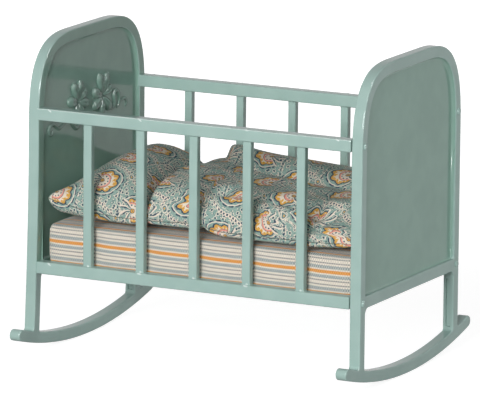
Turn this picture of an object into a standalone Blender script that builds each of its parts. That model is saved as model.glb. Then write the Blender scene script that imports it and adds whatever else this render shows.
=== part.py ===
# A dolls' rocking cradle: two enamelled metal ends on rockers, joined by railed sides,
# with a base sheet that carries a mattress, a pillow and a duvet.
# Units are metres. X runs from the head end to the foot end, Z is up, and the floor is at zero.

import math

import bmesh
import bpy
from mathutils import Matrix, Vector

# Whole cradle
LENGTH = 0.120                 # over the outer faces of the two ends
WIDTH = 0.074                  # over the legs of one end
HEIGHT = 0.1044                # floor to the top of an arch
JOINT_GAP = 0.0003             # left between pieces that touch
CUT_OVERRUN = 0.001            # how far a cutter runs past the face it opens

# Square bar of the bows, cross rails and rockers
BAR = 0.0038
BAR_ROUNDING = 0.00035         # radius along the bar's edges

# Arch: a flat top, then a full bend down to each leg
ARCH_FLAT = 0.020              # straight run along the top
ARCH_RISE = 0.0308             # of the arch over the straight part of the legs
ARCH_FULLNESS = 3              # exponent of the bend, 2 would be an ellipse
ARCH_STEPS = 14                # facets in one bend

# Panels and the groove that houses them
PANEL_THICKNESS = 0.0009
PANEL_CLEARANCE = 0.0002       # between the panel and each wall of its groove
GROOVE_DEPTH = 0.0007
GROOVE_STOP = 0.0028           # end of the groove above a leg's foot

# Rockers
ROCKER_RADIUS = 0.168          # of the underside
ROCKER_REACH = 0.047           # from the middle to a tip
ROCKER_FACETS = 25             # along the underside, odd so that the middle one is level
TIP_STEPS = 8

# Side rails
RAIL = 0.0040                  # square bar
RAIL_ROUNDING = 0.0004
TOP_RAIL_DROP = 0.0224         # from the top of the arch to the top of the top rails
BOTTOM_RAIL_TOP = 0.0313

# Cross rails, level with the bottom side rails
CROSS_FILLET = 0.0020          # radius of the brazing fillet under each end
CROSS_FILLET_TIP = 0.0009      # thickness of the fillet where it ends
CROSS_ROUNDING = 0.0003
FILLET_STEPS = 5
TONGUE_HEIGHT = 0.0020         # of the tongue that enters the leg's groove

# Spindles
SPINDLE_COUNT = 5              # on each side
SPINDLE_WIDTH = 0.00274        # along X
SPINDLE_DEPTH = 0.00228        # along Y
SPINDLE_ROUNDING = 0.00040
FLARE = 0.00035                # how far the braze stands out round a spindle's end
FLARE_HEIGHT = 0.0007
TENON_WIDTH = 0.0014
TENON_DEPTH = 0.0011
TENON_LENGTH = 0.0012
TENON_CLEARANCE = 0.0002

# Rivets that hold the rails to the ends
RIVET_SHANK = 0.0013           # diameter
RIVET_HEAD = 0.0023            # diameter
RIVET_HEAD_HEIGHT = 0.0006
RIVET_CLEARANCE = 0.00015      # round the shank
RIVET_REACH = 0.0032           # of the shank into a rail's end
RIVET_SIDES = 12

# Base sheet, a shallow tray with its edges turned down
BASE_THICKNESS = 0.0006
BASE_DROP = 0.0015             # its top below the top of the bottom rails
BASE_FLANGE = 0.0020

# Floral scroll raised on the head panel's inner face
RELIEF_HEIGHT = 0.0008
RELIEF_SINK = 0.0002           # how deep the first petal roots in the sheet
RELIEF_SINK_STEP = 0.00002     # each next one roots deeper, so that no two floors are level
BLOSSOM_SHARE = 0.262          # from the middle to a blossom, of the way to the leg
BLOSSOM_DROP = 0.0037          # from the top of the top rails to the blossoms' centres
BLOSSOM_PETALS = 7
PETAL_LENGTH = 0.0066
PETAL_WIDTH = 0.0046
PETAL_CENTRE = 0.0045          # from the blossom's centre to the petal's
BLOSSOM_EYE = 0.0030           # diameter of the raised middle
STEM_RADIUS = 0.00055
SCROLL_TURN_SHARE = 0.75       # of a full turn in each curl
SCROLL_SHARES = (              # radius and drop, of a petal's length, and place, of the way to the leg
    (0.394, 0.424, 0.611),
    (0.288, 0.727, 0.789),
)
LEAF_LENGTH = 0.0042
LEAF_WIDTH = 0.0022
LEAF_DROP = 0.0075             # of the two lower leaves below the blossoms

# Mattress
MATTRESS_END_GAP = 0.0006      # from the ends' inner faces
MATTRESS_SIDE_GAP = 0.0005     # from the bottom rails
MATTRESS_HEIGHT = 0.0124       # at its edges
MATTRESS_CROWN = 0.0010
MATTRESS_BULGE = 0.0012        # how far the sides stand out at mid height
MATTRESS_CORNER = 0.0006       # how far the corners are drawn in

# Pillow
PILLOW_LENGTH = 0.0358         # along X, at the front
PILLOW_SIDE_GAP = 0.0013       # from the spindles' rails
PILLOW_HEIGHT = 0.0185         # at its middle
PILLOW_EDGE = 0.0030           # thickness at the seam
PILLOW_SEAM = 0.0058           # height of the seam above its lowest point
PILLOW_DRAW = 0.0024           # how far the sides are drawn in between the corners
PILLOW_END_GAP = 0.0004        # from the head's inner face
PILLOW_CORNER_LIFT = 0.0024    # of the two corners at the head
BEDDING_SLANT = 0.0050         # how much further the duvet reaches at the back than at the front

# Duvet
DUVET_END_GAP = 0.0004         # from the foot's inner face
DUVET_PILLOW_GAP = 0.0009      # between duvet and pillow
DUVET_SIDE_GAP = 0.0004        # from the spindles' rails
DUVET_HEIGHT = 0.0132          # of its front roll above its lowest point
DUVET_SEAM = 0.0052            # height of the seam above its lowest point
DUVET_EDGE = 0.0030            # thickness at the seam
DUVET_RISE = 0.0062            # from the front to the back
DUVET_FOLD = 0.0012            # depth of the long folds
DUVET_FOLDS = 3                # folds across the width
DUVET_LOBE = 0.0008            # how far the front swells between two spindles
DUVET_PEAK = 0.0055            # of the lifted corner at the back, by the pillow
PEAK_LENGTH = 0.0070           # spread of the lifted corner along X
PEAK_WIDTH = 0.0110            # spread along Y
PEAK_INSET = 0.0025            # from the duvet's front corner by the pillow
PEAK_BACK = 0.0230             # from the middle of the width
CLOTH_GAP = 0.0003             # under each soft piece

ENAMEL_COLOUR = (0.31, 0.45, 0.42, 1.0)
TICKING_COLOUR = (0.62, 0.58, 0.50, 1.0)
PRINT_COLOUR = (0.27, 0.38, 0.36, 1.0)

# Places that follow from the sizes above
END_INNER = LENGTH / 2 - BAR
LEG_INNER = WIDTH / 2 - BAR
ARCH_SPRING = HEIGHT - ARCH_RISE
TOP_RAIL_TOP = HEIGHT - TOP_RAIL_DROP
BLOSSOM_CENTRE = TOP_RAIL_TOP - BLOSSOM_DROP
RAIL_CENTRE_Y = WIDTH / 2 - RAIL / 2
RAIL_INNER = WIDTH / 2 - RAIL
PANEL_FACE = LENGTH / 2 - BAR / 2 - PANEL_THICKNESS / 2
BASE_TOP = BOTTOM_RAIL_TOP - BASE_DROP
ENDS = (("head", -1), ("foot", 1))
SIDES = (("front", -1), ("back", 1))
LEVELS = (("top", TOP_RAIL_TOP), ("bottom", BOTTOM_RAIL_TOP))


def clear_objects():
    for old in list(bpy.data.objects):
        bpy.data.objects.remove(old, do_unlink=True)


def new_collection(name):
    collection = bpy.data.collections.new(name)
    bpy.context.scene.collection.children.link(collection)
    return collection


def new_material(name, colour, roughness, metallic):
    material = bpy.data.materials.new(name)
    material.use_nodes = True
    shader = material.node_tree.nodes["Principled BSDF"]
    shader.inputs["Base Color"].default_value = colour
    shader.inputs["Roughness"].default_value = roughness
    shader.inputs["Metallic"].default_value = metallic
    material.diffuse_color = colour
    return material


def add_object(name, mesh, material, collection):
    piece = bpy.data.objects.new(name, mesh)
    if material is not None:
        mesh.materials.clear()
        mesh.materials.append(material)
    collection.objects.link(piece)
    return piece


def from_bmesh(name, shape, material, collection):
    mesh = bpy.data.meshes.new(name)
    shape.to_mesh(mesh)
    shape.free()
    return add_object(name, mesh, material, collection)


def add_box(shape, low, high):
    """Adds a box between two corners to a bmesh and returns its vertices."""
    made = bmesh.ops.create_cube(shape, size=1)["verts"]
    size = [b - a for a, b in zip(low, high)]
    middle = Vector([(a + b) / 2 for a, b in zip(low, high)])
    bmesh.ops.scale(shape, vec=size, verts=made)
    bmesh.ops.translate(shape, vec=middle, verts=made)
    return made


def as_cutter(piece):
    piece.hide_render = True
    piece.display_type = "WIRE"
    return piece


def boolean(piece, tool, operation):
    modifier = piece.modifiers.new(operation.lower(), "BOOLEAN")
    modifier.operation = operation
    modifier.solver = "EXACT"
    modifier.object = tool
    return modifier


def round_edges(piece, width, segments=2):
    modifier = piece.modifiers.new("rounding", "BEVEL")
    modifier.width = width
    modifier.segments = segments
    modifier.limit_method = "ANGLE"
    return modifier


def shade(piece):
    piece.data.shade_smooth()
    piece.data.set_sharp_from_angle(angle=math.radians(35))


def evaluated_mesh(piece):
    depsgraph = bpy.context.evaluated_depsgraph_get()
    return bpy.data.meshes.new_from_object(piece.evaluated_get(depsgraph))


def curve_to_mesh(piece, material, collection):
    """Turns a curve object into a closed mesh object of the same name and place."""
    name = piece.name
    bpy.context.view_layer.update()
    mesh = evaluated_mesh(piece)
    place = piece.matrix_world.copy()
    bpy.data.objects.remove(piece, do_unlink=True)
    shape = bmesh.new()
    shape.from_mesh(mesh)
    bmesh.ops.remove_doubles(shape, verts=shape.verts, dist=BAR_ROUNDING / 50)
    bmesh.ops.recalc_face_normals(shape, faces=shape.faces)
    shape.to_mesh(mesh)
    shape.free()
    mesh.name = name
    solid = add_object(name, mesh, material, collection)
    solid.matrix_world = place
    return solid


# A flat curve's own X and Y stand for the cradle's Y and Z, and its thickness runs along X.
UPRIGHT = Matrix(((0, 0, 1), (1, 0, 0), (0, 1, 0))).to_4x4()


def flat_shape(name, outline, thickness, rounding, x, material, collection):
    """An outline in the YZ plane, given thickness along X, with its edges rounded."""
    curve = bpy.data.curves.new(name, "CURVE")
    curve.dimensions = "2D"
    curve.fill_mode = "BOTH"
    curve.extrude = thickness / 2 - rounding
    curve.bevel_depth = rounding
    curve.bevel_resolution = 1
    curve.offset = -rounding
    spline = curve.splines.new("POLY")
    spline.points.add(len(outline) - 1)
    for point, (y, z) in zip(spline.points, outline):
        point.co = (y, z, 0, 1)
    spline.use_cyclic_u = True
    piece = bpy.data.objects.new(name, curve)
    collection.objects.link(piece)
    piece.matrix_world = Matrix.Translation((x, 0, 0)) @ UPRIGHT
    solid = curve_to_mesh(piece, material, collection)
    shade(solid)
    return solid


def arch_points(inset):
    """The arch from the right leg's spring to the left one's, moved inwards by inset."""
    bend_width = WIDTH / 2 - ARCH_FLAT / 2
    bend_height = HEIGHT - ARCH_SPRING
    half = []
    for step in range(ARCH_STEPS + 1):
        angle = math.pi / 2 * step / ARCH_STEPS
        across = math.cos(angle) ** (2 / ARCH_FULLNESS)
        up = math.sin(angle) ** (2 / ARCH_FULLNESS)
        slope = Vector((across ** (ARCH_FULLNESS - 1) / bend_width, up ** (ARCH_FULLNESS - 1) / bend_height))
        slope.normalize()
        y = ARCH_FLAT / 2 + bend_width * across - inset * slope.x
        z = ARCH_SPRING + bend_height * up - inset * slope.y
        half.append((y, z))
    return half + [(-y, z) for y, z in reversed(half)]


def rocker_top(y):
    """Height of a rocker's upper face at a distance from the middle."""
    return ROCKER_RADIUS - math.sqrt((ROCKER_RADIUS - BAR) ** 2 - y ** 2)


def foot_height(y):
    return rocker_top(y) + JOINT_GAP


def plate_cutter(name, outline, thickness, x, collection):
    return as_cutter(flat_shape(name, outline, thickness, 0, x, None, collection))


def groove_outline():
    """The groove that follows the bow's inner side from one leg's foot to the other's."""
    reach = LEG_INNER + GROOVE_DEPTH
    stop = foot_height(LEG_INNER) + GROOVE_STOP
    return [(reach, stop)] + arch_points(BAR - GROOVE_DEPTH) + [(-reach, stop)]


def rivet_places():
    for side, sign in SIDES:
        for level, top in LEVELS:
            yield side, level, sign * RAIL_CENTRE_Y, top - RAIL / 2


def rivet_hole_cutter(name, x_low, x_high, places, collection):
    """Round cutters along X at the given places, in one wire object."""
    shape = bmesh.new()
    radius = RIVET_SHANK / 2 + RIVET_CLEARANCE
    for y, z in places:
        turn = Matrix.Rotation(math.pi / 2, 4, "Y")
        place = Matrix.Translation(((x_low + x_high) / 2, y, z))
        bmesh.ops.create_cone(shape, cap_ends=True, segments=RIVET_SIDES, radius1=radius, radius2=radius,
                              depth=x_high - x_low, matrix=place @ turn)
    return as_cutter(from_bmesh(name, shape, None, collection))


def make_bow(end, sign, enamel, parts, cutters):
    """Two legs and an arch bent from one square bar, grooved inside to house the panel."""
    middle = sign * (LENGTH / 2 - BAR / 2)
    outer = [(WIDTH / 2, foot_height(WIDTH / 2))] + arch_points(0) + [(-WIDTH / 2, foot_height(WIDTH / 2))]
    inner = [(LEG_INNER, foot_height(LEG_INNER))] + arch_points(BAR) + [(-LEG_INNER, foot_height(LEG_INNER))]
    bow = flat_shape(end + "_bow", outer + inner[::-1], BAR, BAR_ROUNDING, middle, enamel, parts)
    width = PANEL_THICKNESS + 2 * PANEL_CLEARANCE
    boolean(bow, plate_cutter(end + "_groove", groove_outline(), width, middle, cutters), "DIFFERENCE")
    places = [(y, z) for _, _, y, z in rivet_places()]
    holes = rivet_hole_cutter(end + "_bow_holes", middle - BAR / 2 - CUT_OVERRUN,
                              middle + BAR / 2 + CUT_OVERRUN, places, cutters)
    boolean(bow, holes, "DIFFERENCE")


def cross_rail_outline():
    """A bar with a fillet under each end, where it is brazed to the leg."""
    end = LEG_INNER - JOINT_GAP
    bottom = BOTTOM_RAIL_TOP - RAIL
    centre = end - CROSS_FILLET_TIP - CROSS_FILLET
    half = [(end, BOTTOM_RAIL_TOP), (end, bottom - CROSS_FILLET)]
    for step in range(FILLET_STEPS + 1):
        angle = math.pi / 2 * step / FILLET_STEPS
        y = centre + CROSS_FILLET * math.cos(angle)
        z = bottom - CROSS_FILLET + CROSS_FILLET * math.sin(angle)
        half.append((y, z))
    return half + [(-y, z) for y, z in reversed(half)]


def make_cross_rail(end, sign, enamel, parts, cutters):
    """The bar between the legs, tongued into their grooves and grooved on top for the panel."""
    middle = sign * (LENGTH / 2 - BAR / 2)
    rail = flat_shape(end + "_cross_rail", cross_rail_outline(), BAR, CROSS_ROUNDING, middle, enamel, parts)
    half = PANEL_THICKNESS / 2
    reach = LEG_INNER + GROOVE_DEPTH - PANEL_CLEARANCE
    low = BOTTOM_RAIL_TOP - RAIL + (RAIL - GROOVE_DEPTH - TONGUE_HEIGHT) / 2
    shape = bmesh.new()
    add_box(shape, (middle - half, -reach, low), (middle + half, reach, low + TONGUE_HEIGHT))
    tongue = as_cutter(from_bmesh(end + "_tongue", shape, None, cutters))
    boolean(rail, tongue, "UNION")
    shape = bmesh.new()
    half += PANEL_CLEARANCE
    add_box(shape, (middle - half, -WIDTH / 2, BOTTOM_RAIL_TOP - GROOVE_DEPTH),
            (middle + half, WIDTH / 2, BOTTOM_RAIL_TOP + CUT_OVERRUN))
    groove = as_cutter(from_bmesh(end + "_rail_groove", shape, None, cutters))
    boolean(rail, groove, "DIFFERENCE")


def panel_outline():
    reach = LEG_INNER + GROOVE_DEPTH - PANEL_CLEARANCE
    bottom = BOTTOM_RAIL_TOP - GROOVE_DEPTH + PANEL_CLEARANCE
    arch = arch_points(BAR - GROOVE_DEPTH + PANEL_CLEARANCE)
    return [(reach, bottom)] + arch + [(-reach, bottom)]


def make_mound(name, y, z, angle, length, width, face, sink, collection):
    """A flat-bottomed mound on the panel's inner face, its long side at an angle from Y."""
    shape = bmesh.new()
    sign = math.copysign(1, face)
    size = Matrix.Diagonal((RELIEF_HEIGHT * 2, length, width, 1))
    turn = Matrix.Rotation(angle, 4, "X")
    place = Matrix.Translation((face, y, z))
    bmesh.ops.create_uvsphere(shape, u_segments=10, v_segments=6, radius=0.5, matrix=place @ turn @ size)
    everything = shape.verts[:] + shape.edges[:] + shape.faces[:]
    bmesh.ops.bisect_plane(shape, geom=everything, plane_co=(face + sign * sink, y, z),
                           plane_no=(sign, 0, 0), clear_outer=True)
    bmesh.ops.holes_fill(shape, edges=[edge for edge in shape.edges if edge.is_boundary])
    for part in shape.faces:
        part.smooth = True
    return as_cutter(from_bmesh(name, shape, None, collection))


def add_stem(name, points, face, collection):
    """A round wire along points in the YZ plane, half sunk in the panel's inner face."""
    curve = bpy.data.curves.new(name, "CURVE")
    curve.dimensions = "3D"
    curve.bevel_depth = STEM_RADIUS
    curve.bevel_resolution = 1
    curve.use_fill_caps = True
    spline = curve.splines.new("POLY")
    spline.points.add(len(points) - 1)
    for point, (y, z) in zip(spline.points, points):
        point.co = (face, y, z, 1)
    piece = bpy.data.objects.new(name, curve)
    collection.objects.link(piece)
    return as_cutter(curve_to_mesh(piece, None, collection))


def scroll_points(radius, y, z, side):
    """A curl that opens towards the blossoms, then runs on to meet them."""
    steps = 12
    points = []
    for step in range(steps + 1):
        angle = math.pi / 2 + 2 * math.pi * SCROLL_TURN_SHARE * (step / steps - 1)
        shrink = 1 - (1 - step / steps) / 2
        points.append((y - side * radius * shrink * math.cos(angle), z + radius * shrink * math.sin(angle)))
    return points


def make_relief(face, collection):
    """The scroll's petals, eyes, leaves and curls, each one a tool that is joined to the panel."""
    for side in (-1, 1):
        centre = side * BLOSSOM_SHARE * LEG_INNER
        sink = RELIEF_SINK
        for petal in range(BLOSSOM_PETALS):
            angle = math.pi / 2 + 2 * math.pi * (petal + 0.5) / BLOSSOM_PETALS
            y = centre + PETAL_CENTRE * math.cos(angle)
            z = BLOSSOM_CENTRE + PETAL_CENTRE * math.sin(angle)
            make_mound("petal", y, z, angle, PETAL_LENGTH, PETAL_WIDTH, face, sink, collection)
            sink += RELIEF_SINK_STEP
        make_mound("blossom_eye", centre, BLOSSOM_CENTRE, 0, BLOSSOM_EYE, BLOSSOM_EYE,
                   face, sink, collection)
        make_mound("leaf", centre + side * LEAF_LENGTH / 2, BLOSSOM_CENTRE - LEAF_DROP,
                   side * math.pi / 5, LEAF_LENGTH, LEAF_WIDTH, face, sink, collection)
        for radius_share, drop_share, place_share in SCROLL_SHARES:
            points = scroll_points(radius_share * PETAL_LENGTH, side * place_share * LEG_INNER,
                                   BLOSSOM_CENTRE - drop_share * PETAL_LENGTH, side)
            add_stem("scroll", points, face, collection)


def make_panel(end, sign, enamel, parts, cutters):
    """The sheet that fills an end. The head's carries the raised floral scroll."""
    middle = sign * (LENGTH / 2 - BAR / 2)
    panel = flat_shape(end + "_panel", panel_outline(), PANEL_THICKNESS, 0, middle, enamel, parts)
    panel.data.shade_flat()
    if end == "head":
        relief = bpy.data.collections.new("doll_cradle_relief")
        cutters.children.link(relief)
        make_relief(sign * PANEL_FACE, relief)
        # All the tools go in at once, because they overlap one another.
        joined = boolean(panel, None, "UNION")
        joined.operand_type = "COLLECTION"
        joined.collection = relief


def rocker_outline():
    """A bar bent to the rocking radius, with round tips."""
    middle_radius = ROCKER_RADIUS - BAR / 2
    reach = math.asin((ROCKER_REACH - BAR / 2) / middle_radius)
    facet = 2 * reach / ROCKER_FACETS
    # The facets touch the true circle at their middles, so the level one lies on the floor.
    outer = ROCKER_RADIUS / math.cos(facet / 2)
    inner = ROCKER_RADIUS - BAR
    angles = [facet * step - reach for step in range(ROCKER_FACETS + 1)]
    under = [(outer * math.sin(a), ROCKER_RADIUS - outer * math.cos(a)) for a in angles]
    over = [(inner * math.sin(a), ROCKER_RADIUS - inner * math.cos(a)) for a in reversed(angles)]

    def tip(angle, start):
        centre_y = middle_radius * math.sin(angle)
        centre_z = ROCKER_RADIUS - middle_radius * math.cos(angle)
        turns = [start + angle + math.pi * step / TIP_STEPS for step in range(1, TIP_STEPS)]
        return [(centre_y + BAR / 2 * math.cos(t), centre_z + BAR / 2 * math.sin(t)) for t in turns]

    return under + tip(reach, -math.pi / 2) + over + tip(-reach, math.pi / 2)


def make_rocker(end, sign, enamel, parts):
    middle = sign * (LENGTH / 2 - BAR / 2)
    flat_shape(end + "_rocker", rocker_outline(), BAR, BAR_ROUNDING, middle, enamel, parts)


def spindle_places():
    """Centres of the spindles along X, with equal openings between them and the ends."""
    opening = (2 * END_INNER - SPINDLE_COUNT * SPINDLE_WIDTH) / (SPINDLE_COUNT + 1)
    pitch = opening + SPINDLE_WIDTH
    return [(step - (SPINDLE_COUNT - 1) / 2) * pitch for step in range(SPINDLE_COUNT)]


def make_rail(side, side_sign, level, top, enamel, parts, cutters):
    """A square side rail with a mortise for each spindle and a hole in each end for its rivet."""
    y = side_sign * RAIL_CENTRE_Y
    reach = END_INNER - JOINT_GAP
    shape = bmesh.new()
    add_box(shape, (-reach, y - RAIL / 2, top - RAIL), (reach, y + RAIL / 2, top))
    name = side + "_" + level + "_rail"
    rail = from_bmesh(name, shape, enamel, parts)
    round_edges(rail, RAIL_ROUNDING)
    shape = bmesh.new()
    half_width = TENON_WIDTH / 2 + TENON_CLEARANCE
    half_depth = TENON_DEPTH / 2 + TENON_CLEARANCE
    depth = TENON_LENGTH + TENON_CLEARANCE
    if level == "top":
        low, high = top - RAIL - CUT_OVERRUN, top - RAIL + depth
    else:
        low, high = top - depth, top + CUT_OVERRUN
    for x in spindle_places():
        add_box(shape, (x - half_width, y - half_depth, low), (x + half_width, y + half_depth, high))
    boolean(rail, as_cutter(from_bmesh(name + "_mortises", shape, None, cutters)), "DIFFERENCE")
    for end, sign in ENDS:
        inner = sign * (END_INNER - RIVET_REACH - TENON_CLEARANCE)
        outer = sign * (END_INNER + CUT_OVERRUN)
        hole = rivet_hole_cutter(name + "_" + end + "_hole", min(inner, outer), max(inner, outer),
                                 [(y, top - RAIL / 2)], cutters)
        boolean(rail, hole, "DIFFERENCE")
    shade(rail)


def extrude_end(shape, face, height, width, depth, old_width, old_depth):
    """Carries an end face on to a new size, height further along Z, and returns the new end."""
    made = bmesh.ops.extrude_face_region(shape, geom=[face])["geom"]
    bmesh.ops.delete(shape, geom=[face], context="FACES_ONLY")
    verts = [part for part in made if isinstance(part, bmesh.types.BMVert)]
    new_face = [part for part in made if isinstance(part, bmesh.types.BMFace)][0]
    middle = new_face.calc_center_median()
    bmesh.ops.scale(shape, vec=(width / old_width, depth / old_depth, 1), verts=verts,
                    space=Matrix.Translation(-middle))
    bmesh.ops.translate(shape, vec=(0, 0, height), verts=verts)
    return new_face


def make_spindle(name, x, y, enamel, parts):
    """A small bar that flares into its braze at both ends, with a tenon for each rail's mortise."""
    low = BOTTOM_RAIL_TOP + JOINT_GAP
    high = TOP_RAIL_TOP - RAIL - JOINT_GAP
    shape = bmesh.new()
    add_box(shape, (-SPINDLE_WIDTH / 2, -SPINDLE_DEPTH / 2, low + FLARE_HEIGHT),
            (SPINDLE_WIDTH / 2, SPINDLE_DEPTH / 2, high - FLARE_HEIGHT))
    upright = [e for e in shape.edges if abs(e.verts[0].co.z - e.verts[1].co.z) > SPINDLE_WIDTH]
    bmesh.ops.bevel(shape, geom=upright, offset=SPINDLE_ROUNDING, segments=2, profile=0.5,
                    affect="EDGES", material=-1)
    wide = SPINDLE_WIDTH + 2 * FLARE
    deep = SPINDLE_DEPTH + 2 * FLARE
    for sign in (-1, 1):
        shape.faces.ensure_lookup_table()
        face = max(shape.faces, key=lambda f: sign * f.calc_center_median().z)
        face = extrude_end(shape, face, sign * FLARE_HEIGHT, wide, deep, SPINDLE_WIDTH, SPINDLE_DEPTH)
        face = extrude_end(shape, face, 0, TENON_WIDTH, TENON_DEPTH, wide, deep)
        # The tenon also bridges the gap that is left at the shoulder.
        extrude_end(shape, face, sign * (TENON_LENGTH + JOINT_GAP - TENON_CLEARANCE), 1, 1, 1, 1)
    bmesh.ops.recalc_face_normals(shape, faces=shape.faces)
    spindle = from_bmesh(name, shape, enamel, parts)
    spindle.location = (x, y, 0)
    shade(spindle)


def make_rivet(name, sign, y, z, enamel, parts):
    """A domed head on the end's outer face and a shank that reaches into the rail."""
    radius = RIVET_HEAD / 2
    shank = RIVET_SHANK / 2
    length = JOINT_GAP + BAR + RIVET_REACH
    profile = [(0, -length), (shank, -length), (shank, 0), (radius, 0)]
    steps = 3
    for step in range(1, steps + 1):
        angle = math.pi / 2 * step / steps
        profile.append((radius * math.cos(angle), RIVET_HEAD_HEIGHT * math.sin(angle)))
    shape = bmesh.new()
    verts = [shape.verts.new((r, 0, h)) for r, h in profile]
    edges = [shape.edges.new(pair) for pair in zip(verts, verts[1:])]
    bmesh.ops.spin(shape, geom=verts + edges, axis=(0, 0, 1), cent=(0, 0, 0), angle=2 * math.pi,
                   steps=RIVET_SIDES, use_merge=True)
    bmesh.ops.remove_doubles(shape, verts=shape.verts, dist=RIVET_SHANK / 100)
    bmesh.ops.recalc_face_normals(shape, faces=shape.faces)
    rivet = from_bmesh(name, shape, enamel, parts)
    rivet.location = (sign * (LENGTH / 2 + JOINT_GAP), y, z)
    rivet.rotation_euler = (0, sign * math.pi / 2, 0)
    shade(rivet)


def make_base(enamel, parts):
    """A thin sheet with its edges turned down against the rails."""
    half_length = END_INNER - JOINT_GAP
    half_width = RAIL_INNER - JOINT_GAP
    shape = bmesh.new()
    bmesh.ops.create_grid(shape, x_segments=1, y_segments=1, size=1)
    bmesh.ops.scale(shape, vec=(half_length, half_width, 1), verts=shape.verts)
    bmesh.ops.translate(shape, vec=(0, 0, BASE_TOP), verts=shape.verts)
    rim = [edge for edge in shape.edges if edge.is_boundary]
    made = bmesh.ops.extrude_edge_only(shape, edges=rim)["geom"]
    turned = [part for part in made if isinstance(part, bmesh.types.BMVert)]
    bmesh.ops.translate(shape, vec=(0, 0, -BASE_FLANGE), verts=turned)
    bmesh.ops.recalc_face_normals(shape, faces=shape.faces)
    sheet = from_bmesh("base_sheet", shape, enamel, parts)
    wall = sheet.modifiers.new("sheet", "SOLIDIFY")
    wall.thickness = BASE_THICKNESS
    wall.offset = -1
    wall.use_even_offset = True


def sliced_cube(cuts):
    """A cube from -1 to 1, sliced evenly into the given number of parts along each axis."""
    shape = bmesh.new()
    bmesh.ops.create_cube(shape, size=2)
    for axis, count in enumerate(cuts):
        normal = Vector((0, 0, 0))
        normal[axis] = 1
        for step in range(1, count):
            place = normal * (2 * step / count - 1)
            everything = shape.verts[:] + shape.edges[:] + shape.faces[:]
            bmesh.ops.bisect_plane(shape, geom=everything, plane_co=place, plane_no=normal)
    return shape


def soft_form(name, cuts, place, material, parts):
    """A sliced cube whose every point is moved by a rule, then smoothed."""
    shape = sliced_cube(cuts)
    for vert in shape.verts:
        # The sine draws the slices together towards the edges, which keeps the corners.
        u, v = (math.sin(math.pi / 2 * share) for share in vert.co.xy)
        vert.co = place(u, v, vert.co.z)
    piece = from_bmesh(name, shape, material, parts)
    smooth = piece.modifiers.new("smooth", "SUBSURF")
    smooth.levels = 1
    smooth.render_levels = 1
    piece.data.shade_smooth()
    return piece


def mattress_point(u, v, s):
    """A box cushion: flat below, crowned above, sides bulging between top and bottom seams."""
    half_length = END_INNER - MATTRESS_END_GAP - MATTRESS_CORNER * v ** 6 - MATTRESS_BULGE * s ** 2
    half_width = RAIL_INNER - MATTRESS_SIDE_GAP - MATTRESS_CORNER * u ** 6 - MATTRESS_BULGE * s ** 2
    bottom = BASE_TOP + CLOTH_GAP
    crown = MATTRESS_CROWN * (1 - u ** 2) * (1 - v ** 2)
    height = MATTRESS_HEIGHT + (crown if s > 0 else 0)
    return Vector((u * half_length, v * half_width, bottom + height * (s + 1) / 2))


MATTRESS_TOP = BASE_TOP + CLOTH_GAP + MATTRESS_HEIGHT + MATTRESS_CROWN
PILLOW_MIDDLE = PILLOW_END_GAP + PILLOW_LENGTH / 2 - END_INNER
DUVET_LOW_X = PILLOW_MIDDLE + PILLOW_LENGTH / 2 + DUVET_PILLOW_GAP
DUVET_HIGH_X = END_INNER - DUVET_END_GAP


def pillow_point(u, v, s):
    """A stuffed pillow: full in the middle, thin at its seam, drawn in between its corners."""
    fullness = (1 - u ** 4) * (1 - v ** 6)
    slant = BEDDING_SLANT * (v + 1) / 2 * (u + 1) / 2
    half_length = PILLOW_LENGTH / 2 - PILLOW_DRAW * (1 - v ** 2) * u ** 2 / 2
    half_width = RAIL_INNER - PILLOW_SIDE_GAP - PILLOW_DRAW * (1 - u ** 2) * v ** 2 / 2
    seam = MATTRESS_TOP + CLOTH_GAP + PILLOW_SEAM
    lift = PILLOW_CORNER_LIFT * v ** 4 * ((1 - u) / 2) ** 2
    if s > 0:
        z = seam + PILLOW_EDGE / 2 * s + (PILLOW_HEIGHT - PILLOW_SEAM - PILLOW_EDGE / 2) * fullness * s
    else:
        z = seam + PILLOW_EDGE / 2 * s + (PILLOW_SEAM - PILLOW_EDGE / 2) * fullness * s
    x = PILLOW_MIDDLE + u * half_length - slant
    return Vector((x, v * half_width, z + lift))


def duvet_point(u, v, s):
    """A thick duvet with long folds, one lifted corner and a front that swells between spindles."""
    middle = (DUVET_LOW_X + DUVET_HIGH_X) / 2
    half_length = (DUVET_HIGH_X - DUVET_LOW_X) / 2
    x = middle + u * half_length - BEDDING_SLANT * (v + 1) / 2 * (1 - u) / 2
    y = v * (RAIL_INNER - DUVET_SIDE_GAP)
    fullness = (1 - u ** 10) * (1 - v ** 10)
    bottom = MATTRESS_TOP + CLOTH_GAP
    seam = bottom + DUVET_SEAM
    pitch = spindle_places()[1] - spindle_places()[0]
    swell = DUVET_LOBE * (math.cos(2 * math.pi * x / pitch) + 1) / 2
    y -= v * swell * v ** 4
    peak_x = (x - DUVET_LOW_X - PEAK_INSET) / PEAK_LENGTH
    peak_y = (y - PEAK_BACK) / PEAK_WIDTH
    peak = DUVET_PEAK * math.exp(-peak_x ** 2 - peak_y ** 2)
    fold = DUVET_FOLD * math.cos(math.pi * DUVET_FOLDS * (v + 1))
    top = bottom + DUVET_HEIGHT + DUVET_RISE * (v + 1) / 2 + peak + fold
    if s > 0:
        z = seam + DUVET_EDGE / 2 * s + (top - seam - DUVET_EDGE / 2) * fullness * s
    else:
        z = seam + DUVET_EDGE / 2 * s + (DUVET_SEAM - DUVET_EDGE / 2) * fullness * s
    return Vector((x, y, z))


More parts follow.
